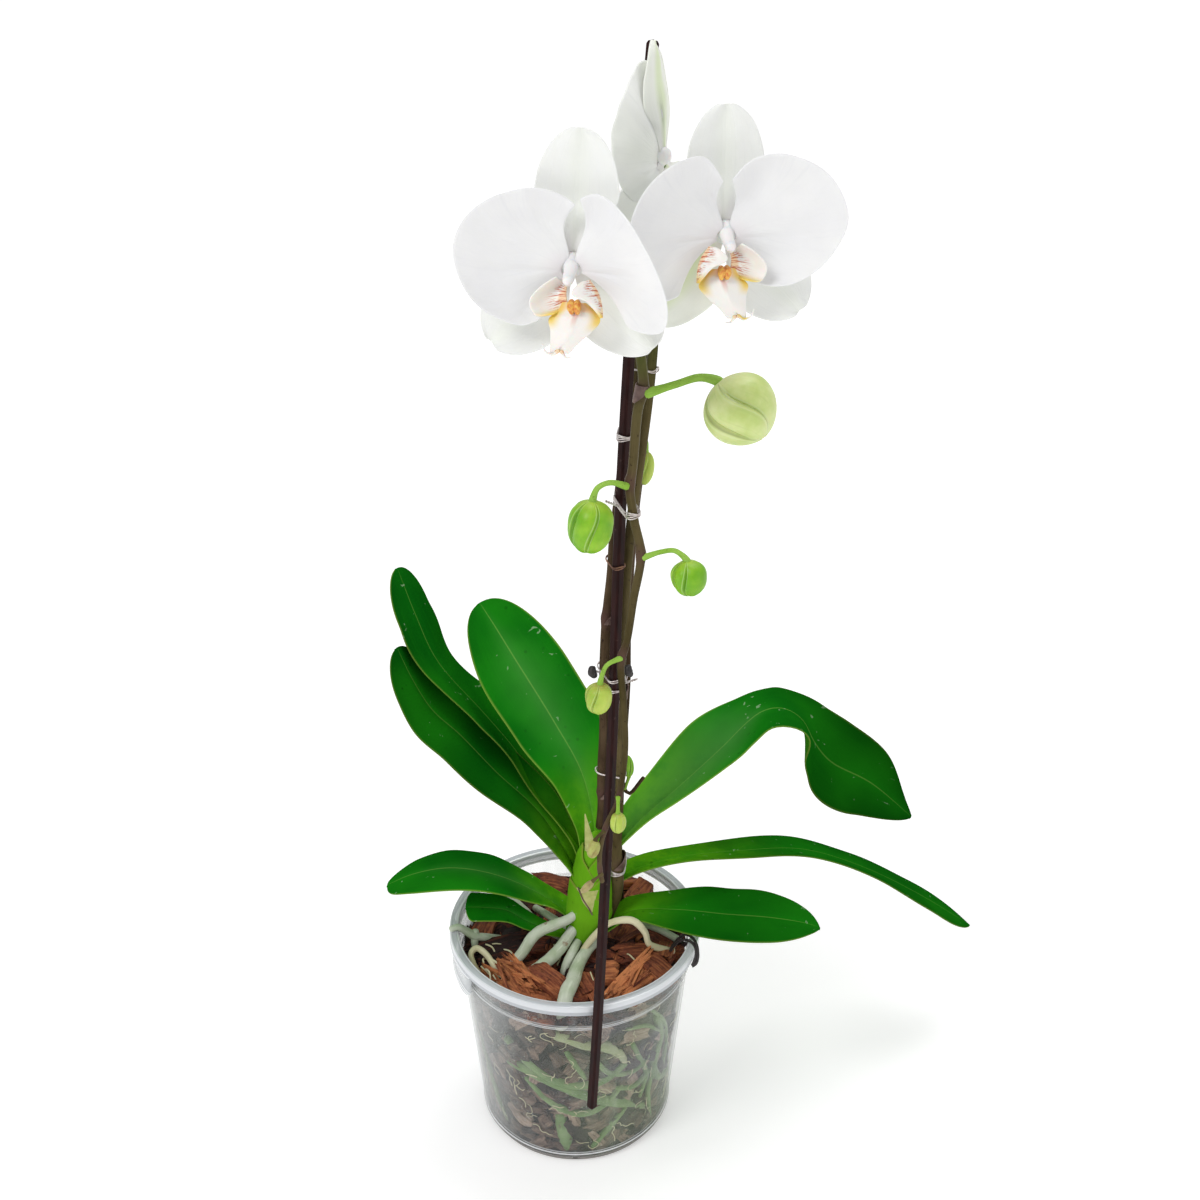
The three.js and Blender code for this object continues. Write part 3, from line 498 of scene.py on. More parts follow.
def stakeFinish():
    f = Finish("stakePlastic")
    grain = f.drawn(f.place, (500, 500, 60), 5, 0.6)
    colour = f.ramp(grain, (0.3, (0.008, 0.002, 0.002)), (0.7, (0.034, 0.010, 0.009)))
    scuffs = f.spread(f.noise(190, 5, 0.75), 0.63, 0.70, 0, 0.35)
    return f.surface(
        Base_Color=f.blend(scuffs, colour, (0.16, 0.10, 0.09)), Specular_IOR_Level=0.10,
        Roughness=f.spread(grain, 0.3, 0.7, 0.36, 0.55), Normal=f.relief(grain, 0.25, 0.6),
    )


def budFinish(name, pale, deep, blush, blushFrom):
    f = Finish(name)
    run = f.axes(f.uv)[1]
    veins = f.drawn(f.uv, (60, 3, 1), 3, 0.5)
    seam = f.attribute("joint")
    colour = f.layered(
        pale,
        (f.spread(f.noise(75, 4, 0.55), 0.32, 0.7), deep),
        (f.spread(run, 0.62, 1.0, 0, 0.55), deep),
        (f.spread(run, blushFrom, 0.0, 0, 0.6), blush),
        (f.spread(veins, 0.5, 0.8, 0, 0.22), scaled(deep, 0.7)),
        # along each seam: a pale line beside it and a dark line in its groove, partly the seam's own colour
        # and partly painted highlight and painted shade
        (f.spread(f.away(seam, 0.42), 0.14, 0.04, 0, 0.25), (0.72, 0.80, 0.50)),
        (f.spread(seam, 0.55, 1.0, 0, 0.55), scaled(deep, 0.3)),
    )
    return f.surface(
        Base_Color=colour, Roughness=0.42, Specular_IOR_Level=0.4, Subsurface_Weight=0.12,
        Subsurface_Scale=2 * mm, Normal=f.relief(veins, 0.18, 0.6),
    )


def petalFinish(name, white, shadow, vein, greenish=0.0):
    f = Finish(name)
    across, run = f.axes(f.uv)[0], f.axes(f.uv)[1]
    fans = f.drawn(f.uv, (42, 1.6, 1), 3, 0.55)
    colour = f.layered(
        shadow,
        (f.spread(f.noise(48, 3, 0.5), 0.3, 0.75), white),
        (f.spread(fans, 0.54, 0.78, 0, 0.22), vein),
        (f.spread(run, 0.0, 0.2, 0.25, 0), (0.74, 0.64, 0.68)),  # blush at the claw
        (f.spread(f.away(across, 0.5), 0.02, 0.26, greenish, 0), (0.60, 0.74, 0.34)),
    )
    return f.surface(
        Base_Color=colour, Roughness=0.52, Specular_IOR_Level=0.3, Subsurface_Weight=0.35,
        Subsurface_Radius=(1.0, 1.0, 0.9), Subsurface_Scale=1.5 * mm,
        Normal=f.relief(f.plus(fans, f.times(f.noise(700, 2), 0.15)), 0.25, 0.5),
    )


def columnFinish():
    f = Finish("columnWhite")
    colour = f.layered(
        (0.80, 0.79, 0.79),
        (f.spread(f.noise(120, 3), 0.3, 0.7), (0.86, 0.85, 0.84)),
        (f.spread(f.axes(f.uv)[1], 0.6, 1.0, 0, 0.08), (0.80, 0.64, 0.70)),
    )
    return f.surface(Base_Color=colour, Roughness=0.42, Subsurface_Weight=0.2, Subsurface_Scale=mm)


def lipFinish(name, middle):
    f = Finish(name)
    across, run = f.axes(f.uv)[0], f.axes(f.uv)[1]
    cloud = f.noise(110, 4)
    lines = f.drawn(f.uv, (26, 2, 1), 3, 0.6)
    if middle:
        fromMid = f.away(across, 0.5)
        edge = f.times(f.spread(fromMid, 0.22, 0.44), f.spread(run, 0.62, 0.4))
        stripe = f.times(f.spread(fromMid, 0.07, 0.015), f.spread(run, 0.6, 0.3, 0, 0.45))
    else:
        edge = f.spread(f.plus(across, f.times(cloud, 0.14)), 0.78, 1.02)
        stripe = f.times(f.spread(lines, 0.50, 0.56), f.spread(run, 0.66, 0.25, 0, 0.95))
    speck = f.plus(f.spread(run, 0.0, 0.9), f.times(cloud, 0.3))
    colour = f.layered(
        (0.84, 0.82, 0.78),
        (edge, (0.80, 0.60, 0.13)),
        (f.spread(speck, 0.32, 0.2, 0, 0.6), (0.84, 0.50, 0.16)),
        (stripe, (0.52, 0.10, 0.03)),
    )
    return f.surface(
        Base_Color=colour, Roughness=0.4, Specular_IOR_Level=0.35, Subsurface_Weight=0.2,
        Subsurface_Scale=mm, Normal=f.relief(lines, 0.2, 0.5),
    )


def plainFinish(name, a, b, scale, gloss, metallic=0.0):
    f = Finish(name)
    cloud = f.noise(scale, 5, 0.6)
    return f.surface(
        Base_Color=f.blend(f.spread(cloud, 0.32, 0.68), a, b), Metallic=metallic,
        Roughness=f.spread(cloud, 0.3, 0.7, gloss - 0.06, gloss + 0.1), Normal=f.relief(cloud, 0.2, 0.6),
    )


def floorFinish():
    f = Finish("paleFloor")
    far = f.spread(f.length(f.place), 0.3, 1.6)
    return f.surface(
        Base_Color=f.blend(f.noise(3, 3), (0.90, 0.90, 0.90), (0.92, 0.92, 0.92)), Roughness=0.85,
        Specular_IOR_Level=0.1, Emission_Color=f.blend(far, (0.30, 0.30, 0.30), (0.60, 0.60, 0.60)),
        Emission_Strength=1,
    )


leafTop = leafFinish("leafTop", (0.003, 0.105, 0.005), (0.012, 0.21, 0.007), (0.12, 0.38, 0.008), 0.36)
leafUnder = leafFinish(
    "leafUnder", (0.030, 0.20, 0.008), (0.07, 0.30, 0.014), (0.18, 0.42, 0.02), 0.42, rib=(0.24, 0.44, 0.11)
)
crownGreen = leafFinish("crownGreen", (0.11, 0.34, 0.010), (0.17, 0.44, 0.018), (0.24, 0.50, 0.03), 0.34)
sheathGreen = leafFinish(
    "sheathGreen", (0.10, 0.32, 0.008), (0.16, 0.42, 0.015), (0.26, 0.50, 0.04), 0.34, browned=0.45
)
clearPlastic = clearPlasticFinish()
topBark = barkFinish("topBark", (0.022, 0.008, 0.008), (0.19, 0.050, 0.024), (0.60, 0.22, 0.085))
wallBark = barkFinish("wallBark", (0.020, 0.013, 0.011), (0.18, 0.115, 0.085), (0.54, 0.41, 0.32))
greyRoot = rootFinish("greyRoot", (0.56, 0.60, 0.50), (0.36, 0.44, 0.28), (0.24, 0.14, 0.08), 0.55)
paleRoot = rootFinish("paleRoot", (0.72, 0.68, 0.46), (0.56, 0.52, 0.31), (0.30, 0.17, 0.09), 0.5)
wetRoot = rootFinish("wetRoot", (0.19, 0.29, 0.11), (0.085, 0.18, 0.035), (0.14, 0.12, 0.06), 0.35)
sageRoot = rootFinish("sageRoot", (0.42, 0.46, 0.28), (0.30, 0.36, 0.17), (0.22, 0.20, 0.11), 0.4)
spikeBrown = stemFinish("spikeBrown", (0.050, 0.038, 0.013), (0.118, 0.092, 0.040), (0.022, 0.010, 0.008))
darkRachis = stemFinish("darkRachis", (0.040, 0.024, 0.012), (0.095, 0.062, 0.034), (0.020, 0.009, 0.008))
pedicelGreen = stemFinish("pedicelGreen", (0.22, 0.42, 0.04), (0.32, 0.52, 0.10), (0.16, 0.26, 0.04), 0.38)
stakePlastic = stakeFinish()
budCream = budFinish("budCream", (0.68, 0.75, 0.34), (0.50, 0.62, 0.18), (0.66, 0.66, 0.34), 0.3)
budGreen = budFinish("budGreen", (0.30, 0.55, 0.02), (0.15, 0.40, 0.004), (0.46, 0.60, 0.07), 0.35)
budSmall = budFinish("budSmall", (0.50, 0.62, 0.10), (0.34, 0.48, 0.05), (0.36, 0.22, 0.05), 0.3)
petalWhite = petalFinish("petalWhite", (0.80, 0.80, 0.80), (0.75, 0.75, 0.76), (0.64, 0.65, 0.68))
sepalWhite = petalFinish("sepalWhite", (0.84, 0.85, 0.82), (0.79, 0.80, 0.78), (0.66, 0.68, 0.66), 0.06)
sepalGreen = petalFinish("sepalGreen", (0.84, 0.86, 0.79), (0.79, 0.81, 0.74), (0.64, 0.68, 0.58), 0.5)
columnWhite = columnFinish()
midLobe = lipFinish("midLobe", True)
sideLobe = lipFinish("sideLobe", False)
callusGold = plainFinish("callusGold", (0.62, 0.16, 0.03), (0.84, 0.52, 0.10), 900, 0.4)
wireSilver = plainFinish("wireSilver", (0.50, 0.42, 0.41), (0.72, 0.68, 0.66), 300, 0.34, metallic=0.6)
cordBlack = plainFinish("cordBlack", (0.012, 0.010, 0.010), (0.035, 0.028, 0.028), 400, 0.5)
papery = plainFinish("paperySheath", (0.36, 0.40, 0.10), (0.52, 0.53, 0.20), 260, 0.6)
tanSheath = plainFinish("tanSheath", (0.26, 0.20, 0.08), (0.44, 0.38, 0.16), 220, 0.55)
tanBud = plainFinish("tanBud", (0.32, 0.26, 0.07), (0.42, 0.46, 0.12), 300, 0.5)
fibreBrown = plainFinish("fibreBrown", (0.12, 0.05, 0.03), (0.34, 0.17, 0.10), 300, 0.7)
purpleBract = plainFinish("purpleBract", (0.075, 0.036, 0.032), (0.17, 0.105, 0.085), 200, 0.5)
print("finishes made")


pot = {
    "height": 120, "rim": 65, "rimWidth": 4.4, "skirt": 5.2, "shoulder": 101, "shoulderRadius": 59.6,
    "foot": 50.6, "wall": 1.1, "floor": 1.2, "sides": 144, "slots": 6, "slotSize": (9, 2.4, 3.6),
    "tab": (172, 216, 21),  # from and to a turn in degrees, and how far it hangs
}


def wallRadius(z):
    return mix(pot["foot"], pot["shoulderRadius"], z / pot["shoulder"])


def boreRadius(z):
    return (wallRadius(z) if z < pot["shoulder"] else pot["shoulderRadius"] + 1) - pot["wall"]


# One profile turned round into floor, wall and rim, with slots cut out and the grip tab added
def makePot():
    foot, rim, high, wall = pot["foot"], pot["rim"], pot["height"], pot["wall"]
    lip = rim - pot["rimWidth"]
    skirt = high - pot["skirt"]
    shoulder, side = pot["shoulder"], pot["shoulderRadius"]
    # reach and height, from below the floor up the outside, over the rim and down the inside
    outline = [
        (foot - 9, 1.4), (foot - 8.2, 0.3), (foot - 7, 0), (foot - 2.2, 0), (foot - 1.6, 0.4),
        (foot - 1.2, 3.2), (foot + 0.2, 3.9), (foot + 0.8, 4.4), (wallRadius(6.2), 6.2),
        (wallRadius(7), 7), (wallRadius(36), 36), (wallRadius(68), 68),
        (wallRadius(99.6), 99.6), (side, shoulder), (side + 1.0, shoulder + 0.8),
        (side + 1.3, shoulder + 1.4), (side + 1.4, shoulder + 2.4), (lip + 0.4, high - 2.3),
        (lip + 0.9, high - 1.4), (lip + 1.5, high - 1.2), (rim - 1.7, high - 1.2),
        (rim - 1.1, high - 1.6), (rim - 1, skirt + 0.2), (rim - 0.8, skirt),
        (rim - 0.2, skirt), (rim, skirt + 0.3), (rim, high - 1.0),
        (rim - 0.3, high - 0.3), (rim - 1.0, high), (lip + 0.5, high), (lip, high - 0.3),
        (lip - 0.4, high - 2), (side + 1.3 - wall, shoulder + 2.4), (side + 1.0 - wall, shoulder + 1.2),
        (side - wall, shoulder - 0.4), (wallRadius(68) - wall, 68), (wallRadius(36) - wall, 36),
        (wallRadius(7) - wall, 7), (wallRadius(3) - wall - 1, 2.4), (wallRadius(1.6) - wall - 2, 1.6),
        (foot - 9, 1.8), (foot - 10, 2.0),
    ]
    radius, level = foot - 10, pot["floor"]
    clearSelection()
    bpy.ops.mesh.primitive_circle_add(
        vertices=pot["sides"], radius=radius * mm, fill_type="NOTHING", location=(0, 0, level * mm)
    )
    body = bpy.context.object
    bpy.ops.object.mode_set(mode="EDIT")
    bpy.ops.mesh.select_all(action="SELECT")
    for nextRadius, nextLevel in outline:
        bpy.ops.mesh.extrude_region_move(
            TRANSFORM_OT_translate={"value": (0, 0, (nextLevel - level) * mm)}
        )
        share = nextRadius / radius
        bpy.ops.transform.resize(value=(share, share, 1), center_override=(0, 0, nextLevel * mm))
        radius, level = nextRadius, nextLevel
    bpy.ops.mesh.extrude_region_move(TRANSFORM_OT_translate={"value": (0, 0, 0)})
    bpy.ops.mesh.merge(type="CENTER")  # middle of the floor, inside
    bpy.ops.mesh.select_all(action="DESELECT")
    bpy.ops.object.mode_set(mode="OBJECT")
    for corner in body.data.vertices:
        corner.select = abs(corner.co.z - pot["floor"] * mm) < 1e-6
    bpy.ops.object.mode_set(mode="EDIT")
    bpy.ops.mesh.extrude_region_move(TRANSFORM_OT_translate={"value": (0, 0, 0)})
    bpy.ops.mesh.merge(type="CENTER")  # middle of the floor, below
    bpy.ops.object.mode_set(mode="OBJECT")
    closeSeams(body)

    for i in range(pot["slots"]):
        turn = 2 * pi * (i + 0.5) / pot["slots"]
        clearSelection()
        bpy.ops.mesh.primitive_cube_add(size=1, location=(0, 0, 0))
        slot = bpy.context.object
        slot.scale = [size * mm for size in pot["slotSize"]]
        slot.location = ((foot - 3) * cos(turn) * mm, (foot - 3) * sin(turn) * mm, 2.1 * mm)
        slot.rotation_euler.z = turn
        modify(body, "BOOLEAN", operation="DIFFERENCE", object=slot, solver="EXACT")
        bpy.data.objects.remove(slot)

    tabFrom, tabTo, tabDrop = pot["tab"]

    def onTab(u, v):
        turn = radians(mix(tabFrom, tabTo, u))
        corner = abs(2 * u - 1) ** 6 * 8
        level = high - 2 - v * (tabDrop - corner)
        reach = rim - 0.5 - 1.3 * v + 0.5 * sin(3 * pi * v)
        return Vector(aroundPot(turn, reach, level)) * mm

    tab = placedGrid("tab", 28, 14, onTab)
    thicken(tab, 0.9)
    rounded(tab)
    body = joined("clear_pot", [body, tab])
    paint(body, clearPlastic)
    shadeSmooth(body, 40)
    settle(body, "clear_plastic", "pot")


makePot()
print("pot made")


bark = {
    "top": 106, "mound": 4, "reach": 56, "seed": 11, "topChips": 230, "wallRows": 18, "wallAround": 27,
    "wallFrom": 5, "wallTo": 99, "wallTints": (-0.45, -0.35, -0.22, -0.1, 0.02, 0.22), "coreShadeTint": -0.5,
    # chips laid one by one: place, size, heading and two tilts in degrees, tint
    "laid": [
        ((-38, -10, 108.5), (25, 15, 4.5), (20, 8, -4), -0.30),
        ((-13.5, -37, 112), (17, 11, 9), (-38, 6, 10), 0.08),
        ((-16, -6, 107), (16, 12, 5), (4, 0, 8), -0.02), ((17, -29, 109), (9, 13, 7), (6, 10, 0), 0.30),
        ((27, -31, 110), (32, 5, 4), (49, 0, -12), 0.52), ((31, -35, 108), (24, 6, 4), (38, 12, -6), 0.38),
        ((22, -37, 108), (17, 6, 4), (70, 0, 14), 0.34), ((34, -13, 108), (21, 12, 5), (10, 12, 6), 0.08),
        ((42, -25, 108), (20, 13, 6), (-40, -8, 16), 0.10), ((47, -8, 107), (17, 9, 4), (75, 0, 20), 0.16),
        ((35, 38, 109), (20, 10, 5), (60, 10, 0), 0.14), ((27, 45, 109), (18, 8, 4), (20, -10, 12), 0.20),
        ((-13, 44, 108), (18, 11, 5), (-10, 8, 6), 0.02), ((8, -36, 107), (15, 8, 5), (-60, 8, 8), 0.12),
        ((12, -14, 107), (17, 10, 5), (-20, 10, 4), -0.04), ((-48, 10, 107), (19, 11, 5), (80, 6, 10), 0.06),
        ((-30, 26, 107), (18, 10, 5), (30, 10, 0), -0.10), ((46, 18, 107), (17, 10, 5), (100, 6, 8), 0.05),
        ((-29, -41, 111), (15, 10, 5), (-40, 0, 8), 0.34), ((-20, -46, 108), (14, 9, 5), (-20, 0, 6), 0.26),
        ((-3, -44, 106), (16, 9, 6), (12, -10, 6), 0.02), ((-30, -25, 107), (15, 9, 4), (-60, 6, 16), 0.22),
    ],
    # bundles of torn fibres: two ends, how many
    "torn": [
        ((-38, -22, 112), (-20, -41, 112), 30), ((-33, -33, 114), (-24, -42, 114), 9),
        ((20, -44, 107), (36, -22, 112), 7), ((-47, -22, 107), (-36, -36, 105), 9),
    ],
}


# One rough chip of size 1: fibres along x, split ends
def chipMaster(seed, cuts):
    clearSelection()
    bpy.ops.mesh.primitive_cube_add(size=1)
    chip = bpy.context.object
    bpy.ops.object.mode_set(mode="EDIT")
    bpy.ops.mesh.select_all(action="SELECT")
    bpy.ops.mesh.subdivide(number_cuts=cuts)
    bpy.ops.object.mode_set(mode="OBJECT")
    for corner in chip.data.vertices:
        p = corner.co.copy()
        shift = noise.noise_vector(p * 1.5 + Vector((seed * 3.1, 0, 0)))
        split = noise.noise(Vector((seed * 7.7, p.y * 7, p.z * 5)))
        ridge = noise.noise(Vector((seed * 2.3, p.y * 9, p.z * 9)))
        corner.co += shift * 0.11
        longer = 0.3 * split + 0.16 * p.y * (seed % 3 - 1)
        corner.co.x += longer * (1 if p.x > 0 else -1) * (2 * abs(p.x)) ** 2
        corner.co.z += 0.14 * ridge * (1 if p.z > 0 else -1) * (abs(p.z) > 0.45)
        corner.co.z *= 1 - 0.45 * abs(2 * p.x) ** 4
    return chip


# A point moved inside the pot's wall and above its floor
def pressed(point, room):
    reach = hypot(point.x, point.y)
    most = (boreRadius(point.z / mm) - room) * mm
    if reach > most:
        point.x *= most / reach
        point.y *= most / reach
    point.z = max(point.z, 2.2 * mm)
    return point


def layChip(master, size, turn, location, tint, room=0.5):
    chip = master.copy()
    chip.data = master.data.copy()
    chip.name = "chip"
    bpy.context.scene.collection.objects.link(chip)
    grain = chip.data.attributes.new("grain", "FLOAT_VECTOR", "POINT")
    for corner, value in zip(chip.data.vertices, grain.data):
        value.vector = [(corner.co[k] * size[k] + location[k]) * mm for k in range(3)]
    grow = Matrix.Diagonal((*[s * mm for s in size], 1))
    chip.data.transform(Matrix.Translation(Vector(location) * mm) @ turn.to_matrix().to_4x4() @ grow)
    for corner in chip.data.vertices:
        corner.co = pressed(corner.co, room)
    markCorners(chip, "tint", [tint] * len(chip.data.vertices))
    return chip


def finishBark(name, chips, finish):
    piece = joined(name, chips)
    paint(piece, finish)
    shadeSmooth(piece, 30)
    settle(piece, "bark")


# Loose chips on top, chips behind the wall and a core painted dark as the shade in the gaps between chips
def makeBark():
    draw = random.Random(bark["seed"])
    noise.seed_set(bark["seed"])  # noise_vector is seeded from the clock without it
    masters =[chipMaster(seed, 2) for seed in range(5)]
    heroes = [chipMaster(seed + 20, 6) for seed in range(4)]
    goldenTurn = 2.39996
    chips = []
    for i in range(bark["topChips"]):
        reach = bark["reach"] * sqrt((i + 0.5) / bark["topChips"])
        turn = i * goldenTurn
        size = (draw.uniform(9, 19), draw.uniform(6, 10), draw.uniform(2.5, 5))
        tilt = Euler((draw.uniform(-0.4, 0.4), draw.uniform(-0.35, 0.35), draw.uniform(0, pi)))
        level = bark["top"] - 2.5 + bark["mound"] * (1 - reach / bark["reach"]) + draw.uniform(-2.5, 1)
        place = aroundPot(turn, reach, level - (1.5 if sin(turn) > 0.1 else 0))
        chips.append(layChip(masters[i % 5], size, tilt, place, draw.uniform(-0.38, 0.14)))
    for i, (place, size, turns, tint) in enumerate(bark["laid"]):
        heading, tip, lean = (radians(angle) for angle in turns)
        chips.append(layChip(heroes[i % 4], size, Euler((tip, lean, heading)), place, tint))
    for start, end, count in bark["torn"]:
        line = Vector(end) - Vector(start)
        heading = atan2(line.y, line.x)
        for i in range(count):
            spread = draw.uniform(-6, 6)
            centre = Vector(start) + line * draw.uniform(0.2, 0.8)
            centre += Vector((-sin(heading) * spread, cos(heading) * spread, draw.uniform(-1.5, 2)))
            size = (draw.uniform(9, 20), draw.uniform(1, 2.4), draw.uniform(0.8, 1.8))
            tip, lean = draw.uniform(-0.5, 0.5), draw.uniform(-0.3, 0.3)
            turn = Euler((tip, lean, heading + draw.uniform(-0.4, 0.4)))
            chips.append(layChip(masters[i % 5], size, turn, centre, draw.uniform(0.12, 0.5)))
    finishBark("bark_top", chips, topBark)

    chips = []
    for row in range(bark["wallRows"]):
        z = bark["wallFrom"] + row * (bark["wallTo"] - bark["wallFrom"]) / (bark["wallRows"] - 1)
        for i in range(bark["wallAround"]):
            turn = 2 * pi * (i + 0.5 * (row % 2) + draw.uniform(-0.35, 0.35)) / bark["wallAround"]
            size = (draw.uniform(6, 16), draw.uniform(3.5, 8), draw.uniform(3, 5.5))
            tilt = Euler((pi / 2 + draw.uniform(-0.5, 0.5), draw.uniform(-1.3, 1.3), turn + pi / 2))
            reach = boreRadius(z) - draw.uniform(1.5, 5.5)
            place = aroundPot(turn, reach, z + draw.uniform(-3, 3))
            tint = draw.choice(bark["wallTints"]) + draw.uniform(-0.05, 0.05)
            master = masters[draw.randrange(5)]
            chips.append(layChip(master, size, tilt, place, tint, draw.uniform(0.5, 2.4)))
    finishBark("bark_wall", chips, wallBark)
    for master in masters + heroes:
        bpy.data.objects.remove(master)

    closing = 0.14  # the share of rows that close the top of the core

    def onCore(u, v):
        turn = 2 * pi * u
        row = v * (1 + closing)
        z = mix(2.6, bark["top"] - 3, min(row, 1))
        reach = boreRadius(z) - mix(2, 6.5, smooth((z - 3) / 12))
        if row > 1:
            reach *= 1 - (row - 1) / closing
        lump = noise.noise(Vector(aroundPot(turn, reach, z)) * 0.16)
        z += 2.5 * lump + (4 * (1 - reach / 57) if row > 1 else 0)
        reach *= 1 + 0.05 * lump
        if v == 0:
            reach = 0
        return Vector(aroundPot(turn, reach, max(z, 2.5))) * mm

    core = placedGrid("bark_core", 72, 66, onCore)
    closeSeams(core)
    # the core is painted dark: painted shade in the gaps between the chips
    markCorners(core, "tint", [bark["coreShadeTint"]] * len(core.data.vertices))
    shadeSmooth(core, 40)
    paint(core, wallBark)
    settle(core, "bark", "bark")


makeBark()
print("bark made")


# Aerial roots. way: from the crown to the bark. radii: along it. also: a side branch.
roots = {
    "root_1": {
        "way": [(1, -7, 130), (-4, -9, 127.5), (-10.5, -11, 126), (-17.5, -14, 124.5), (-22, -17, 122),
                (-26, -20, 116.5), (-31, -23, 110), (-33, -25, 98)],
        "radii": [2.3, 2.8, 2.9, 2.7, 2.4],
    },
    "root_2": {
        "way": [(-0.5, -8, 121), (-3.5, -11, 118), (-7.5, -16, 115), (-11.5, -21, 113.5), (-16.5, -27, 113),
                (-22.5, -32, 110), (-24, -34, 98)],
        "radii": [2.8, 3.2, 3.3, 3.1, 2.7],
    },
    "root_3": {
        "way": [(11, -10, 114.5), (7.5, -14, 113.5), (3.5, -20, 111.5), (1, -28, 111), (-1, -37, 111.5),
                (-4, -48, 111.5), (-6.5, -52.5, 97)],
        "radii": [2.6, 3.2, 3.7, 3.8, 3.6],
    },
    "root_4": {
        "way": [(2.5, -8, 115), (0.5, -13, 114), (-2, -19, 112.5), (-4.5, -23, 108.5), (-6, -26, 98)],
        "radii": [2.2, 2.4, 2.2],
    },
    "root_5": {
        "way": [(-4.5, -3, 110), (-11.5, -3, 114), (-16, 0, 116), (-21.5, 3.5, 117), (-26.5, 11.5, 116),
                (-31.5, 21.5, 113), (-36.5, 38.5, 104)],
        "radii": [2.0, 2.3, 2.4, 2.2],
        "also": [(-1.5, -2.5, 116), (-10, 2.5, 118), (-15.5, 7.5, 118), (-21.5, 22, 110)],
    },
    "root_6": {
        "way": [(4, -16, 113), (8, -15, 119), (15, -13, 126.5), (22, -12, 129.5), (30, -11, 128.5),
                (36, -12, 122), (38, -13, 115.5), (43, -12, 111.5), (51, -10, 108)],
        "radii": [1.7, 1.9, 1.7, 1.9, 2, 1.8, 1.9, 1.7], "pale": True, "flat": 0.35,
        "also": [(31, 6.5, 114), (38, 4.5, 113), (44.5, 3, 111), (54.5, 2, 105)],
    },
    "root_7": {
        "way": [(-63.5, -10, 122.5), (-60, -8.5, 122.5), (-56, -7, 118.5), (-52, -6.5, 115),
                (-46.5, -4, 112), (-39.5, 0.5, 107)],
        "radii": [1.6, 2.0, 2.1, 2.1, 2.0], "also": [(-51.5, -5, 117), (-52, -7, 112), (-51.5, -6, 105)],
    },
    "root_8": {
        "way": [(-38, -28, 102), (-41, -23, 109), (-45.5, -18, 113), (-50.5, -15, 114), (-53, -18, 113),
                (-51, -22, 109), (-46, -25, 103)],
        "radii": [1.3, 1.7, 1.8, 1.6, 1.1], "pale": True, "flat": 0.25,
    },
}
# Roots that press against the wall: their radius, then turn about the pot in degrees and height
wallRoots = {
    "wall_root_1": (2.9, [(-100, 92), (-92, 90), (-84, 86), (-74, 83), (-66, 76), (-60, 66)]),
    "wall_root_2": (2.4, [(-130, 78), (-120, 71), (-106, 62), (-92, 57), (-78, 57), (-66, 62), (-54, 70)]),
    "wall_root_3": (1.8, [(-118, 56), (-108, 46), (-96, 38), (-84, 35), (-72, 40), (-62, 50)]),
    "wall_root_4": (2.5, [(-40, 88), (-34, 70), (-38, 52), (-30, 36), (-12, 28), (14, 30)]),
}
# Thinner ones, all in one piece of the scene's own
moreWallRoots = [
    (3.3, [(-130, 62), (-112, 60), (-98, 56), (-86, 50), (-72, 42), (-58, 34), (-42, 22)]),
    (3.6, [(-99, 31), (-97.5, 22), (-96, 13), (-95, 6)]),
    (1.6, [(-79, 8), (-74, 15), (-66, 24), (-58, 32)]),
    (1.5, [(-58, 80), (-52, 66), (-45, 50), (-48, 34)]),
    (1.3, [(-37, 66), (-39, 50), (-41, 34), (-35, 10)]),
    (1.2, [(-46, 96), (-34, 80), (-27, 60), (-27, 34)]),
    (1.5, [(-94, 82), (-89, 72), (-84, 62)]),
    (1.2, [(-160, 60), (-150, 38), (-144, 22), (-138, 12)]),
    (1.4, [(-79, 75), (-70, 63), (-55, 58), (-44, 62)]),
    (1.3, [(-66, 50), (-54, 46), (-42, 50), (-32, 42)]),
    (1.1, [(-62, 92), (-50, 88), (-38, 76)]),
    (1.6, [(60, 80), (75, 60), (95, 50), (120, 54)]),
    (1.5, [(150, 84), (165, 60), (172, 40), (190, 30)]),
]
hairs = {"seed": 5, "count": 80, "threads": 16}


def makeRoot(name, spec):
    way = Way(spec["way"])
    seed = sum(spec["way"][0])

    def girth(share, turn):
        lump = noise.noise(Vector((share * way.length / mm / 9, seed, cos(turn))))
        ring = noise.noise(Vector((share * way.length / mm / 2.5, seed, 5)))
        flat = 1 - spec.get("flat", 0) * cos(turn) ** 2
        return along(spec["radii"], share) * (1 + 0.12 * lump + 0.04 * ring) * flat * mm

    parts = [tube(name + "_skin", way, girth, 16, 64, paleRoot if spec.get("pale") else greyRoot)]
    if "also" in spec:
        parts.append(tube(name + "_branch", Way(spec["also"]), [1.9], 14, 36, greyRoot))
    settle(joined(name + "_skin", parts), "root", name)


def wallRoot(name, radius, turns, finish):
    inset = pot["wall"] + 0.4 + radius
    way = Way([aroundPot(radians(turn), wallRadius(z) - inset, z) for turn, z in turns])

    def girth(share, turn):
        lump = noise.noise(Vector((share * 9, radius, cos(turn))))
        return along([0.8, 1, 1.05, 0.95, 0.6], share) * radius * mm * (1 + 0.14 * lump)

    return tube(name + "_skin", way, girth, 14, 44, finish)


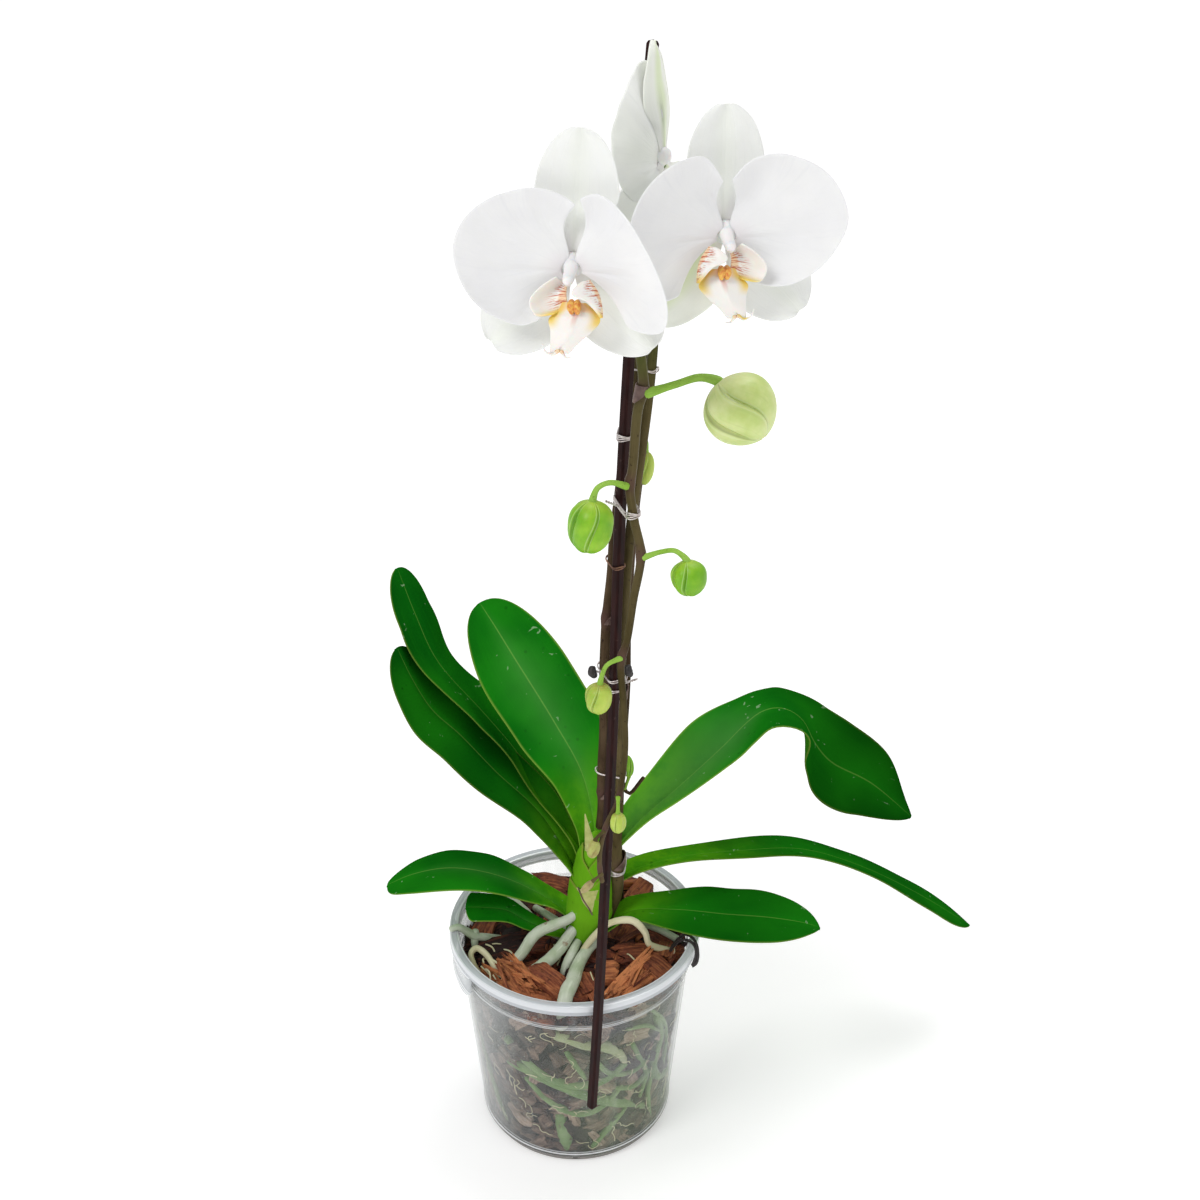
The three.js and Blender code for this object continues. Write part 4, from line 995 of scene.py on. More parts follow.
# Fine hairs that wander over the inside of the wall, and dry threads on the bark
def makeHairs():
    draw = random.Random(hairs["seed"])
    made = []
    for i in range(hairs["count"]):
        turn, z = draw.uniform(-175, -5), draw.uniform(10, 98)
        heading = draw.uniform(0, 2 * pi)
        points = []
        for _ in range(draw.choice((4, 4, 5, 8))):
            points.append(aroundPot(radians(turn), boreRadius(z) - 0.5, z))
            heading += draw.uniform(-1.2, 1.2)
            turn += 2.2 * cos(heading)
            z = clamp(z + 2.0 * sin(heading), 8, 99)
        made.append(tube("hair", Way(points), [draw.uniform(0.12, 0.24)], 5, 3 * len(points), paleRoot))
    for i in range(hairs["threads"]):  # mostly at the left
        x, y = draw.uniform(-52, -34) if i % 4 else draw.uniform(-20, 44), draw.uniform(-34, -4)
        heading = draw.uniform(-1.4, 0.2)
        points = []
        for k in range(6):
            points.append((x, y, 108.5 + 3 * sin(k * 0.9 + i) + draw.uniform(0, 1)))
            heading += draw.uniform(-0.6, 0.6)
            x, y = x + 3 * cos(heading), y + 3 * sin(heading)
        made.append(tube("hair", Way(points), [draw.uniform(0.3, 0.55)], 6, 20, paleRoot))
    settle(joined("hair_roots", made), "wet_root")


for rootName, rootSpec in roots.items():
    makeRoot(rootName, rootSpec)
for rootName, (rootRadius, rootTurns) in wallRoots.items():
    rootSkin = sageRoot if rootName == "wall_root_1" else wetRoot
    settle(wallRoot(rootName, rootRadius, rootTurns, rootSkin), "wet_root", rootName)
thinRoots = [wallRoot(f"more_{k}", *item, wetRoot) for k, item in enumerate(moreWallRoots)]
settle(joined("wall_roots_more", thinRoots), "wet_root")
makeHairs()
print("roots made")


crown = {
    # x, y, z of the middle, then half width and half depth
    "stations": [
        (4.5, -2, 99, 4, 4), (4.5, -3, 108, 6, 5.6), (6, -3, 117, 8.4, 7.4), (7.5, -2.5, 127, 9.8, 8),
        (8, -1.5, 137, 9.2, 7.5), (8.5, 0, 149, 8.4, 6.8), (9.5, 1, 160, 7, 5.6), (11, 2, 170, 4.4, 3.8),
        (11, 2, 176, 1.6, 1.5),
    ],
    # which way it faces in degrees, bottom, top of its back, how far the front edges drop, looseness
    "sheaths": [
        (0, 101, 130, 6, 0.8), (178, 104, 148, 7, 1.3), (8, 112, 158, 14, 1.0), (172, 122, 168, 18, 0.7),
        (14, 132, 174, 16, 0.4),
    ],
    "darkEdge": [(147, -128), (142, -112), (137, -94), (133, -84)],  # height, turn in degrees
}


# A point on the crown's skin, or beside it by grow
def crownAt(z, turn, grow=0.0):
    heights = [station[2] for station in crown["stations"]]
    z = clamp(z, heights[0], heights[-1])
    step = min(bisect_right(heights, z), len(heights) - 1) - 1
    share = smooth((z - heights[step]) / (heights[step + 1] - heights[step]))
    low, high = crown["stations"][step], crown["stations"][step + 1]
    x, y, a, b = (mix(low[k], high[k], share) for k in (0, 1, 3, 4))
    return Vector((x + (a + grow) * cos(turn), y + (b + grow) * sin(turn), z)) * mm


def makeCrown():
    bottom, top = crown["stations"][0][2], crown["stations"][-1][2]

    def onBody(u, v):
        z = mix(bottom, top, v)
        if v in (0, 1):
            return (crownAt(z, 0) + crownAt(z, pi)) / 2
        return crownAt(z, 2 * pi * u, -0.3)

    body = placedGrid("crown_body", 40, 50, onBody)
    closeSeams(body)
    paint(body, crownGreen)
    parts = [body]
    for facing, low, high, drop, grow in crown["sheaths"]:
        def onSheath(u, v):
            bend = 2 * u - 1
            turn = radians(facing + 118 * bend)
            edge = high - drop * abs(bend) ** 1.5
            return crownAt(mix(low, edge, v), turn, grow + 0.5 * v + 0.9 * hump(bend, 0.12))

        sheath = placedGrid("sheath", 40, 16, onSheath)
        thicken(sheath, 0.9, -1)
        paint(sheath, sheathGreen)
        parts.append(sheath)

    def onScale(u, v):
        bend = 2 * u - 1
        wide = mix(38, 3, v ** 0.8)
        turn = radians(-104 + 18 * v + wide * bend)
        return crownAt(mix(146, 134, v), turn, 1.9 - 0.5 * abs(bend))

    def onTip(u, v):
        across = (2 * u - 1) * mix(3.2, 0.2, v)
        return Vector((8.6 + across - 3 * v, -6.5 + 0.2 * across * across, mix(168, 192, v))) * mm

    for place in (onScale, onTip):
        scale = placedGrid("scale", 16, 16, place)
        thicken(scale, 0.5)
        paint(scale, papery)
        parts.append(scale)
    edge = Way([crownAt(z, radians(turn), 2.2) / mm for z, turn in crown["darkEdge"]])
    parts.append(tube("edge", edge, [0.4], 8, 20, purpleBract))
    piece = joined("leaf_bases", parts)
    rounded(piece)
    shadeSmooth(piece)
    settle(piece, "leaf_base", "crown")


makeCrown()
print("crown made")


# way: midrib from crown to tip. wide: full width. fold: how far both halves lift from flat, and
# roll: how far the blade leans about its midrib, in degrees, spread from base to tip. The painted
# light list: how far it is darkened as painted shade or lightened as painted sheen along the way. wave: how
# far its edges ripple.
leafGrid = (20, 56)
leaves = {
    "leaf_1": {
        "way": [(-2, -3, 112.5), (-15.5, -4, 117.5), (-26, -5, 124), (-35, -6, 131), (-46, -7, 133.5),
                (-55.5, -8, 134.5)],
        "wide": 20, "fold": [20, 8, 4], "roll": [18, 14, 8], "roundFrom": 0.94, "paintedShadeAndSheen": [0.2, 0.2, 0.1],
        "wave": 0.2, "spread": 1.0,
    },
    "leaf_2": {
        "way": [(4, 2, 116), (-8, 4, 125), (-21, 2, 137), (-42, -2, 151), (-63, -5, 157), (-81, -6, 154),
                (-95, -6, 147)],
        "wide": 38, "fold": [35, 8, 2, -3, -3], "roll": [0, -2, -4, -5, -4],
        "paintedShadeAndSheen": [0.12, 0.2, 0.2, 0.15, 0.05], "wave": 0.7,
    },
    "leaf_3": {
        "way": [(6, 3, 134), (0, 6, 148), (-17, 8, 181), (-39, 10, 205), (-57, 14, 225), (-70, 17, 237),
                (-79, 19, 253), (-86, 21, 270)],
        "wide": 40, "fold": [35, 20, 12, 2, 0, -3], "roll": [0, 22, 14, 8, 10, 8],
        "paintedShadeAndSheen": [0.1, -0.25, -0.35, -0.3, -0.3], "wave": 0.6,
    },
    "leaf_4": {
        "way": [(8, 5, 142), (2, 12, 157), (-14, 20, 181), (-29, 28, 204), (-46, 33, 225), (-69, 38, 253),
                (-79, 42, 277), (-87, 46, 301)],
        "wide": 41, "fold": [38, 36, 30, 6, 1, 0], "roll": [0, 6, 4, -10, -9, -2],
        "paintedShadeAndSheen": [0.1, -0.1, -0.2, -0.15, -0.05], "wave": 0.6,
    },
    "leaf_5": {
        "way": [(11, 4, 152), (10, 10, 172), (4, 19, 198), (-10, 28, 223), (-30, 38, 255), (-41, 43, 273),
                (-47, 46, 282)],
        "wide": 46, "fold": [36, 20, 12, 8, 6], "roll": [10, 20, 32, 40, 36],
        "paintedShadeAndSheen": [0.15, 0.2, 0.24, 0.24, 0.1], "wave": 0.5,
    },
    "leaf_6": {
        "way": [(12, -1, 112), (28, 4, 122), (53, -2, 128), (77, -8, 130), (100, -12, 131), (118, -14, 129),
                (125, -15, 127)],
        "tip": 1.5, "wide": 40, "fold": [30, 8, 3, 2, 4], "roll": [0, 2, -2, -4, -8],
        "paintedShadeAndSheen": [0.1, -0.05, -0.1, -0.1, 0], "wave": 0.6,
    },
    "leaf_7": {
        "way": [(13, 6, 134), (29, 11, 143), (55, 20, 145), (88, 32, 140), (122, 44, 132), (157, 54, 113),
                (192, 62, 88), (228, 70, 58)],
        "tip": 1.5, "wide": 40, "fold": [28, 8, 6, 3, 0, -3], "roll": [0, 14, 16, 14, 6, -8],
        "paintedShadeAndSheen": [0.1, -0.1, -0.2, -0.25, -0.2], "wave": 0.8,
    },
    "leaf_8": {
        "way": [(12, 5, 150), (36, 9, 179.5), (49.5, 11, 192), (75.5, 15, 218), (86, 17, 229.5),
                (94, 18, 236), (103, 18, 237.5), (113, 18, 231), (119.5, 17, 218.5), (128.5, 16, 207.5),
                (149, 14, 196.5), (171.5, 12, 176.5)],
        "tip": 1.5, "wide": 52, "fold": [34, 32, 31, 24, 4, 5, 8, 3, -4],
        "roll": [0, -8, -13, -10, 8, 5, -30, -43, -22], "paintedShadeAndSheen": [0.3, 0.4, 0.4, 0.25, -0.3, -0.5, -0.5],
        "wave": 0.6,
    },
}


# Half the blade's width at a share of its length
def leafHalf(spec, t):
    roundFrom = spec.get("roundFrom", 0.68)
    spread = 0.36 + 0.64 * smooth(t / spec.get("spread", 0.55))
    tip = sqrt(max(0, 1 - ((t - roundFrom) / (1 - roundFrom)) ** 2)) if t > roundFrom else 1
    return spec["wide"] / 2 * max(spread * tip ** spec.get("tip", 0.9), 0.03)


def makeLeaf(name, spec):
    way = Way(spec["way"])
    seed = spec["wide"] + spec["way"][0][0]

    def onBlade(u, v):
        t = 1 - (1 - v) ** 1.5
        bend = 2 * u - 1
        side = abs(bend) ** 1.35 * (1 if bend > 0 else -1)
        run = way.run(t)
        across = run.cross(Vector((0, 0, 1))).normalized()
        above = across.cross(run)
        roll = radians(flowing(spec["roll"], t))
        lift = radians(flowing(spec["fold"], t)) * (0.6 + 0.4 * abs(side))
        reach = abs(side) * leafHalf(spec, t)
        turn = lift + roll if side >= 0 else pi - lift + roll
        groove = -0.55 * hump(reach, 1.1) * (1 - 0.5 * t)
        wave = spec["wave"] * noise.noise(Vector((t * 6, side * 0.8, seed))) * abs(side)
        out = across * cos(turn) + above * sin(turn)
        up = run.cross(out).normalized() * (1 if side < 0 else -1)
        if up.dot(above) < 0:
            up = -up
        return way.at(t) + (out * reach + up * (groove + wave)) * mm

    across, rows = leafGrid
    blade = placedGrid(name + "_blade", across, rows, onBlade)
    group = blade.vertex_groups.new(name="thick")
    paintedShading = []
    for corner in range(len(blade.data.vertices)):
        row, column = divmod(corner, across + 1)
        edge = abs(2 * column / across - 1)
        group.add([corner], 1 - 0.55 * edge ** 1.6, "REPLACE")
        t = 1 - (1 - row / rows) ** 1.5
        # painted light on top of the leaf's own list: painted shade towards the margins, painted light along
        # the midrib
        paintedShading.append(flowing(spec["paintedShadeAndSheen"], t) - 0.16 * edge ** 3 + 0.10 * hump(edge, 0.3))
    markCorners(blade, "paintedShadeAndSheen", paintedShading)
    paint(blade, leafTop, leafUnder)
    thicken(blade, 1.8, vertex_group="thick", material_offset=1, material_offset_rim=0)
    rounded(blade)
    shadeSmooth(blade)
    settle(blade, "leaf", name)


for leafName, leafSpec in leaves.items():
    makeLeaf(leafName, leafSpec)
print("leaves made")


stakes = {
    "stake_1": {
        "way": [(9, -73.6, 65), (12, -66.9, 118), (18, -49, 251), (22, -33, 376), (29, -16.5, 501),
                (33, -10, 550)],
        "radius": 2.2,
    },
    "stake_2": {"way": [(26, 26, 60), (24, 16, 110), (23, 9, 146), (22, 5, 172)], "radius": 1.8},
}


def makeStake(name, spec):
    way = Way(spec["way"])

    def girth(share, turn):
        flat = max(abs(cos(turn)), abs(sin(turn)))
        return spec["radius"] * min(1.12, 0.98 / flat) * mm

    stick = tube(name + "_stick", way, girth, 24, 48, stakePlastic)
    shadeSmooth(stick, 30)
    settle(stick, "stake", name)


for stakeName, stakeSpec in stakes.items():
    makeStake(stakeName, stakeSpec)


# Each spike climbs from the crown, bends over at the top and hangs down with its buds.
spikes = {
    "spike_1": {
        "way": [
            (17, 4, 120), (21, 2, 134), (22, 1, 144), (21, -2, 166), (22, -12, 204), (22, -23, 246),
            (22, -32, 283), (23, -35, 311), (25, -31, 343), (27, -28, 365), (30, -25, 387), (33, -22, 412),
            (35, -20, 440), (34, -25, 462), (31, -35, 471), (28, -45, 466), (28, -50, 448), (30, -50, 427),
            (28, -50, 418), (26, -50, 392), (25, -50, 386), (27, -50, 370), (30, -51, 355), (27, -53, 335),
            (24, -55, 314), (22, -56, 308), (23, -58, 289), (24, -60, 264), (22, -62, 244), (21, -63, 239),
            (16, -65, 228), (13, -66, 215), (13, -66, 203), (14, -66, 197),
        ],
        "radii": [3, 3.3, 2.7, 2.5, 2.4, 2.3, 2.2, 2.2, 2.1, 2.1, 2.1, 2.1, 2, 1.9, 1.8, 1.6, 1.4, 1.2, 1.1],
        "joints": [(22, -1, 158), (22, -30, 275), (30, -50, 427), (25, -50, 387), (30, -51, 355),
                   (22, -56, 309), (21, -63, 241), (16, -65, 226), (13, -66, 203)],
    },
    "spike_2": {
        "way": [
            (13, 1, 179), (14, -7, 197), (14, -13, 219), (15, -22, 253), (15, -32, 291), (16, -34, 316),
            (18, -31, 336), (19, -29, 352), (21, -26, 369), (24, -22, 398), (28, -17, 428), (31, -12, 458),
            (34, -5, 480), (37, 3, 486), (38, 6, 476), (36, 0, 452), (33, -8, 420), (31, -12, 384),
            (28, -13, 350), (26, -13, 305), (26, -11, 268), (25, -9, 240), (24, -8, 212), (27, -8, 205),
            (34, -9, 215),
        ],
        "radii": [2.2, 2.4, 2.3, 2.2, 2.2, 2.1, 2, 1.9, 1.8, 1.5, 1.3, 1.1, 0.9],
        "joints": [(14, -10, 208), (16, -34, 316), (25, -21, 404), (32, -10, 392), (25, -8, 214)],
    },
}


joint = {"swell": 2.6, "dark": 4, "thicker": 0.24}  # how far it swells and is dark, and how much


def makeSpike(name, spec, finish):
    way = Way(spec["way"])
    joints = [way.nearest(Vector(point) * mm) * way.length for point in spec["joints"]]

    def swell(share):
        reach = share * way.length
        return sum(hump(reach - middle, joint["swell"] * mm) for middle in joints)

    def girth(share, turn):
        ribbed = 1 + 0.02 * cos(5 * turn) + 0.03 * noise.noise(Vector((share * 40, cos(turn), 3)))
        return along(spec["radii"], share) * ribbed * (1 + joint["thicker"] * swell(share)) * mm

    stem = tube(name + "_stem", way, girth, 16, 260, finish)
    centres = [way.at(reach / way.length) for reach in joints]
    nearest = [min((corner.co - centre).length for centre in centres) for corner in stem.data.vertices]
    markCorners(stem, "joint", [hump(near, joint["dark"] * mm) for near in nearest])
    parts = [stem]
    for reach in joints[:3]:
        centre = reach / way.length
        run = way.run(centre)
        side = run.cross(Vector((0.3, -1, 0.1))).normalized()
        over = run.cross(side)
        base = along(spec["radii"], centre)

        def onBract(u, v):
            bend = 2 * u - 1
            turn = bend * mix(2.2, 0.25, v ** 1.4)
            radius = (base * 1.18 + 0.35 + 0.5 * v) * mm
            middle = way.at(centre) + run * (v * 7.5 - 2) * mm
            return middle + (side * cos(turn) + over * sin(turn)) * radius

        bract = placedGrid("bract", 12, 10, onBract)
        thicken(bract, 0.5, 1)
        paint(bract, purpleBract)
        parts.append(bract)
    piece = joined(name + "_stem", parts)
    shadeSmooth(piece)
    settle(piece, "spike", name)


makeSpike("spike_1", spikes["spike_1"], spikeBrown)
makeSpike("spike_2", spikes["spike_2"], darkRachis)
print("stakes and spikes made")


# stalk: from the spike to the bud's base. nose: the bud's far end. wide: its greatest width.
# barrel: how blunt its ends are. taper: how much slimmer its nose is. seams: in degrees round it,
# twist: how far they turn on the way. Buds without barrel and taper take those of the small ones.
smallBud = {"barrel": 2.4, "taper": 0.1, "twist": 20}
buds = {
    "bud_1": {"stalk": [(31.5, -52, 425.5), (42.5, -53, 429.5), (52, -55, 433), (59, -57, 432)],
              "nose": (76.5, -64.5, 412), "wide": 27.5, "barrel": 2.2, "seams": [-8, 60, 205],
              "twist": -22, "finish": budCream},
    "bud_2": {"stalk": [(24, -52, 386), (17, -53, 388), (12, -54, 386), (10, -55, 381)],
              "nose": (8, -57, 359), "wide": 17.5, "barrel": 3.2, "taper": 0.12,
              "seams": [-6, 62, 128, 248], "twist": 16, "finish": budGreen},
    "bud_3": {"stalk": [(31, -52, 354), (38, -53, 357), (44, -54, 358), (49, -55, 354)],
              "nose": (51, -57, 339), "wide": 14.5, "barrel": 2.7, "taper": 0.16,
              "seams": [24, 84, 150, 270], "twist": 12, "finish": budGreen},
    "bud_4": {"stalk": [(22, -57, 309), (16, -58, 306), (14, -59, 302), (13, -60, 298)],
              "nose": (12, -61, 284), "wide": 11.5, "barrel": 2.8, "taper": 0.12,
              "seams": [22, 85, 200, 290], "twist": 14, "finish": budSmall},
    "bud_5": {"stalk": [(21, -64, 242), (21, -65, 239), (21, -66, 235)], "nose": (21, -67, 225),
              "wide": 7, "seams": [-42, 22, 110, 230], "twist": 6, "finish": budSmall},
    "bud_6": {"stalk": [(15, -66, 225), (13, -67, 224), (11, -67, 221)], "nose": (9, -68, 212),
              "wide": 5.6, "seams": [-10, 110, 230], "finish": tanBud},
    "bud_7": {"stalk": [(14, -67, 202), (12, -68, 201), (10, -68, 199)], "nose": (4.5, -69, 193),
              "wide": 3.4, "seams": [30, 150, 270], "finish": tanSheath},
    "bud_8": {"stalk": [(25, -8, 208), (26, -8, 211), (27, -8, 215)], "nose": (26, -8, 227),
              "wide": 5.4, "seams": [-40, 30, 150, 270], "finish": budGreen},
    "bud_9": {"stalk": [(32, -10, 391), (33, -11, 389), (33, -11, 385)], "nose": (32, -12, 370),
              "wide": 7.4, "seams": [0, 120, 240], "finish": budSmall},
}


# How far round a lobe of the bud a turn lies (0 to 1), and how far it is from the nearest seam
def lobeAt(turn, seams):
    turn = degrees(turn) % 360
    marks = sorted(seam % 360 for seam in seams)
    above = next((k for k, mark in enumerate(marks) if mark > turn), 0)
    start, end = marks[above - 1], marks[above]
    span = (end - start) % 360
    share = ((turn - start) % 360) / span
    return share, min(share, 1 - share) * span


def makeBud(name, given):
    spec = {**smallBud, **given}
    start = Vector(spec["stalk"][-1]) * mm
    axis = Vector(spec["nose"]) * mm - start
    line = axis.normalized()
    front = Vector((0, -1, 0.35))
    front = (front - line * front.dot(line)).normalized()
    side = line.cross(front)
    clearSelection()
    segments = 96
    bpy.ops.mesh.primitive_uv_sphere_add(segments=segments, ring_count=48, radius=1)
    bud = bpy.context.object
    step = 360 / segments
    creases = [step * round(seam / step) for seam in spec["seams"]]  # each on a line of corners
    seams = []
    for corner in bud.data.vertices:
        p = corner.co
        t = (p.z + 1) / 2
        turn = atan2(p.y, p.x)
        share, gap = lobeAt(turn + 0.01, creases)
        ends = sqrt(clamp(1 - p.z * p.z))
        groove = exp(-gap / 7)
        girth = spec["wide"] / 2 * sqrt(clamp(1 - abs(p.z) ** spec["barrel"])) * (1 - spec["taper"] * t * t)
        girth *= 1 + (0.08 * sin(pi * share) + 0.17 * (0.5 - share) - 0.10 * groove) * ends
        turn += radians(spec["twist"]) * sin(pi * (t - 0.5))
        rise = t + 0.02 * (1 - abs(2 * share - 1)) * (t > 0.8) * (t - 0.8) * 5
        # how deep each corner lies in a seam's groove; the finish paints it dark, partly as painted shade
        seams.append(groove * clamp(ends * 3))
        corner.co = start + axis * rise + (front * cos(turn) + side * sin(turn)) * girth * mm
    markCorners(bud, "joint", seams)
    paint(bud, spec["finish"])
    radius = 0.6 + spec["wide"] * 0.035
    way = Way([*spec["stalk"], (start + axis * 0.06) / mm])
    skin = spikeBrown if spec["finish"] in (tanBud, tanSheath) else pedicelGreen
    stalk = tube("stalk", way, [k * radius for k in (1.35, 1, 0.95, 1.05, 1.5)], 12, 36, skin)
    piece = joined(name + "_bloom", [bud, stalk])
    shadeSmooth(piece)
    settle(piece, "bud", name)


for budName, budSpec in buds.items():
    makeBud(budName, budSpec)
print("buds made")


# centre: where the tepals meet. yaw: turned to the viewer's right from the front, pitch: up,
# roll: clockwise, in degrees. mirror: which way it is turned, 0 for the one seen from its side.
# dorsal: length and width of the upper sepal. lower: how far the two lower ones stand from it, and
# the length of the second. open, hanging: its two petals, each with the angles of its edges and its
# reach from the upper edge to the lower one. stalk: its pedicel.
flowers = {
    "flower_1": {
        "centre": (3, -90, 487.5), "yaw": -12, "pitch": 2, "roll": 3, "mirror": 1,
        "dorsal": (44.5, 30.5), "lower": (140, 131, 42),
        "stalk": [(28, -43, 471), (22, -56, 477), (13, -71, 484), (6, -82, 488)],
        "open": {"top": 97, "low": -68, "bow": 13, "lift": 15,
                 "reach": [24, 27, 30.6, 33.6, 37.3, 40.5, 41.6, 39.7, 36.8, 31.9, 27, 19]},
        "hanging": {"top": 86, "low": -46, "bow": 10, "lift": 26,
                    "reach": [26, 28, 27.6, 26.6, 26, 26, 27, 29, 32.2, 36, 38.3, 33]},
    },
    "flower_2": {
        "centre": (58.5, -69, 494), "yaw": 12, "pitch": 2, "roll": 0, "mirror": -1, "dorsal": (42.5, 29.5),
        "stalk": [(35, -24, 464), (43, -32, 475), (51, -46, 487), (56, -61, 494)],
        "open": {"top": 90, "low": -68, "bow": 9, "lift": 15,
                 "reach": [21, 28, 33, 36.6, 40.2, 42.5, 43.4, 40, 35.8, 30.5, 24, 18]},
        "hanging": {"top": 88, "low": -52, "bow": 10, "lift": 26,
                    "reach": [21, 29.6, 31.9, 33.1, 34.2, 35, 35.7, 36, 36.3, 36.6, 36.5, 32]},
    },
    "flower_3": {
        "centre": (34, -36, 511), "yaw": -112, "pitch": -6, "roll": 0, "mirror": 0, "dorsal": (43, 27),
        "stalk": [(38, 3, 486), (39, -4, 495), (39, -16, 503), (37, -28, 508)],
        "open": {"top": 64, "low": -50, "bow": 4, "lift": 8,
                 "reach": [30, 35, 37, 36, 33, 29, 26, 23, 21, 19, 17, 14]},
        "hanging": {"top": 101, "low": -42, "bow": 3, "lift": 8, "sweep": 13, "base": -2.5,
                    "reach": [37, 36.5, 35, 34, 33.5, 33, 32, 30, 28, 25, 22, 18]},
    },
}
bloom = {"sepal": 43.5, "sepalWide": 31.9, "sweep": 20, "thick": 0.7, "lower": (137, 137, 43.5)}


# A point given as it is seen by the camera, with its depth towards it, in the flower's own frame
def seen(mirror, x, y, depth):
    if not mirror:
        return Vector((x, y, depth))
    near = 1 - depth * 0.002
    across = mirror * (1.02 * x * near + 0.21 * depth)
    return Vector((across, 0.985 * y * near + 0.25 * depth - 3.3, depth))


def flowerFrame(spec):
    turned = Euler((radians(-spec["pitch"]), 0, 0)).to_matrix()
    turned = Matrix.Rotation(radians(spec["yaw"]), 3, "Z") @ turned
    upright = Matrix.Rotation(pi / 2, 3, "X")
    return Matrix.Translation(Vector(spec["centre"]) * mm) @ (turned @ upright).to_4x4()


def makePetal(mirror, side, shape, seed):
    sweep = radians(shape.get("sweep", bloom["sweep"]))
    slope = sin(sweep) / cos(sweep)

    def onPetal(u, v):
        top = shape["top"] - shape["bow"] * sin(pi * v)
        low = shape["low"] + shape["lift"] * (1 - v) ** 1.3
        angle = mix(top, low, u)
        rim = flowing(shape["reach"], u) * (1 - 0.05 * exp(-u / 0.03) - 0.16 * exp((u - 1) / 0.035))
        reach = mix(2.5, rim, v ** 0.9)
        out, rise = reach * cos(radians(angle)), reach * sin(radians(angle))
        cup = 2.6 * sin(pi * v) - 3 * v * v * ((angle - 4) / 80) ** 2
        ruffle = noise.noise(Vector((u * 5, v * 1.5, seed * 3.7)))
        fine = noise.noise(Vector((u * 13, v * 2, seed * 1.9)))
        crease = -0.8 * hump(angle + 3, 5) * sin(pi * clamp(v * 1.25))
        depth = shape.get("base", 1.5) + max(out, 0) * slope - cup
        depth += (2.0 * ruffle + 0.7 * fine) * v * v + crease
        return seen(mirror, side * (1 + out), rise, depth) * mm

    petal = placedGrid("petal", 44, 24, onPetal)
    if side * (mirror or 1) < 0:
        petal.data.flip_normals()
    paint(petal, petalWhite if mirror else sepalWhite)
    thicken(petal, bloom["thick"])
    rounded(petal)
    return petal


def makeSepal(angle, length, width, lean, seed, finish, point=0.5):
    turn = radians(angle)

    def onSepal(u, v):
        t = 1 - (1 - v) ** 1.4
        bulge = 0.22 + 0.78 * smooth(t / 0.5)
        tip = max(0, 1 - max(0, (t - 0.45) / 0.56) ** 2) ** point
        across = (2 * u - 1) * width / 2 * max(bulge * tip, 0.05)
        out = 2 + t * (length - 2)
        keel = -0.5 * hump(across, 1.2) * (1 - t)
        ruffle = 1.6 * noise.noise(Vector((u * 2.5, t * 4, seed * 5.3))) * t
        depth = -3 + lean * t + 2.4 * (across / (width / 2)) ** 2 - 1.5 * sin(pi * t) + keel + ruffle
        x = out * sin(turn) + across * cos(turn)
        y = out * cos(turn) - across * sin(turn)
        return Vector((x, y, depth)) * mm

    sepal = placedGrid("sepal", 24, 34, onSepal)
    paint(sepal, finish)
    thicken(sepal, bloom["thick"])
    rounded(sepal)
    return sepal


def makeTepals(spec, seed):
    mirror, roll = spec["mirror"], spec["roll"]
    left, right, rightLength = spec.get("lower", bloom["lower"])

    def part(name, points, radii, steps):
        return tube(name, Way([seen(mirror, *point) for point in points]), radii, 20, steps, columnWhite)

    upper = (-1, seed, sepalWhite) if mirror else (0.5, seed, sepalGreen, 0.9)
    leftFinish = sepalGreen if mirror < 1 else sepalWhite
    lean = 3 if mirror else 13
    parts = [
        part("column", [(0, 1, -2), (0, 1, 2), (-0.5, -1.6, 5.5), (-1, -3.4, 7.6)], [3.0, 2.7, 2.3, 2.1], 24),
        part("cap", [(-1, -3.2, 7.8), (-1.1, -4.4, 8.6), (-1.1, -5.6, 8.6)], [1.8, 2.0, 1.8, 1.0], 12),
        part("hub", [(0, 2.2, -4.5), (0, 2.2, -2), (0, 1.2, 1)], [3, 4.2, 4.4, 3.2], 12),
        makeSepal(roll, *spec["dorsal"], *upper),
        makeSepal(roll - left, bloom["sepal"], bloom["sepalWide"], 3, seed + 1, leftFinish),
        makeSepal(roll + right, rightLength, bloom["sepalWide"], lean, seed + 2, sepalWhite),
        makePetal(mirror, -1, spec["open"], seed + 3),
        makePetal(mirror, 1, spec["hanging"], seed + 4),
    ]
    return joined("tepals", parts)


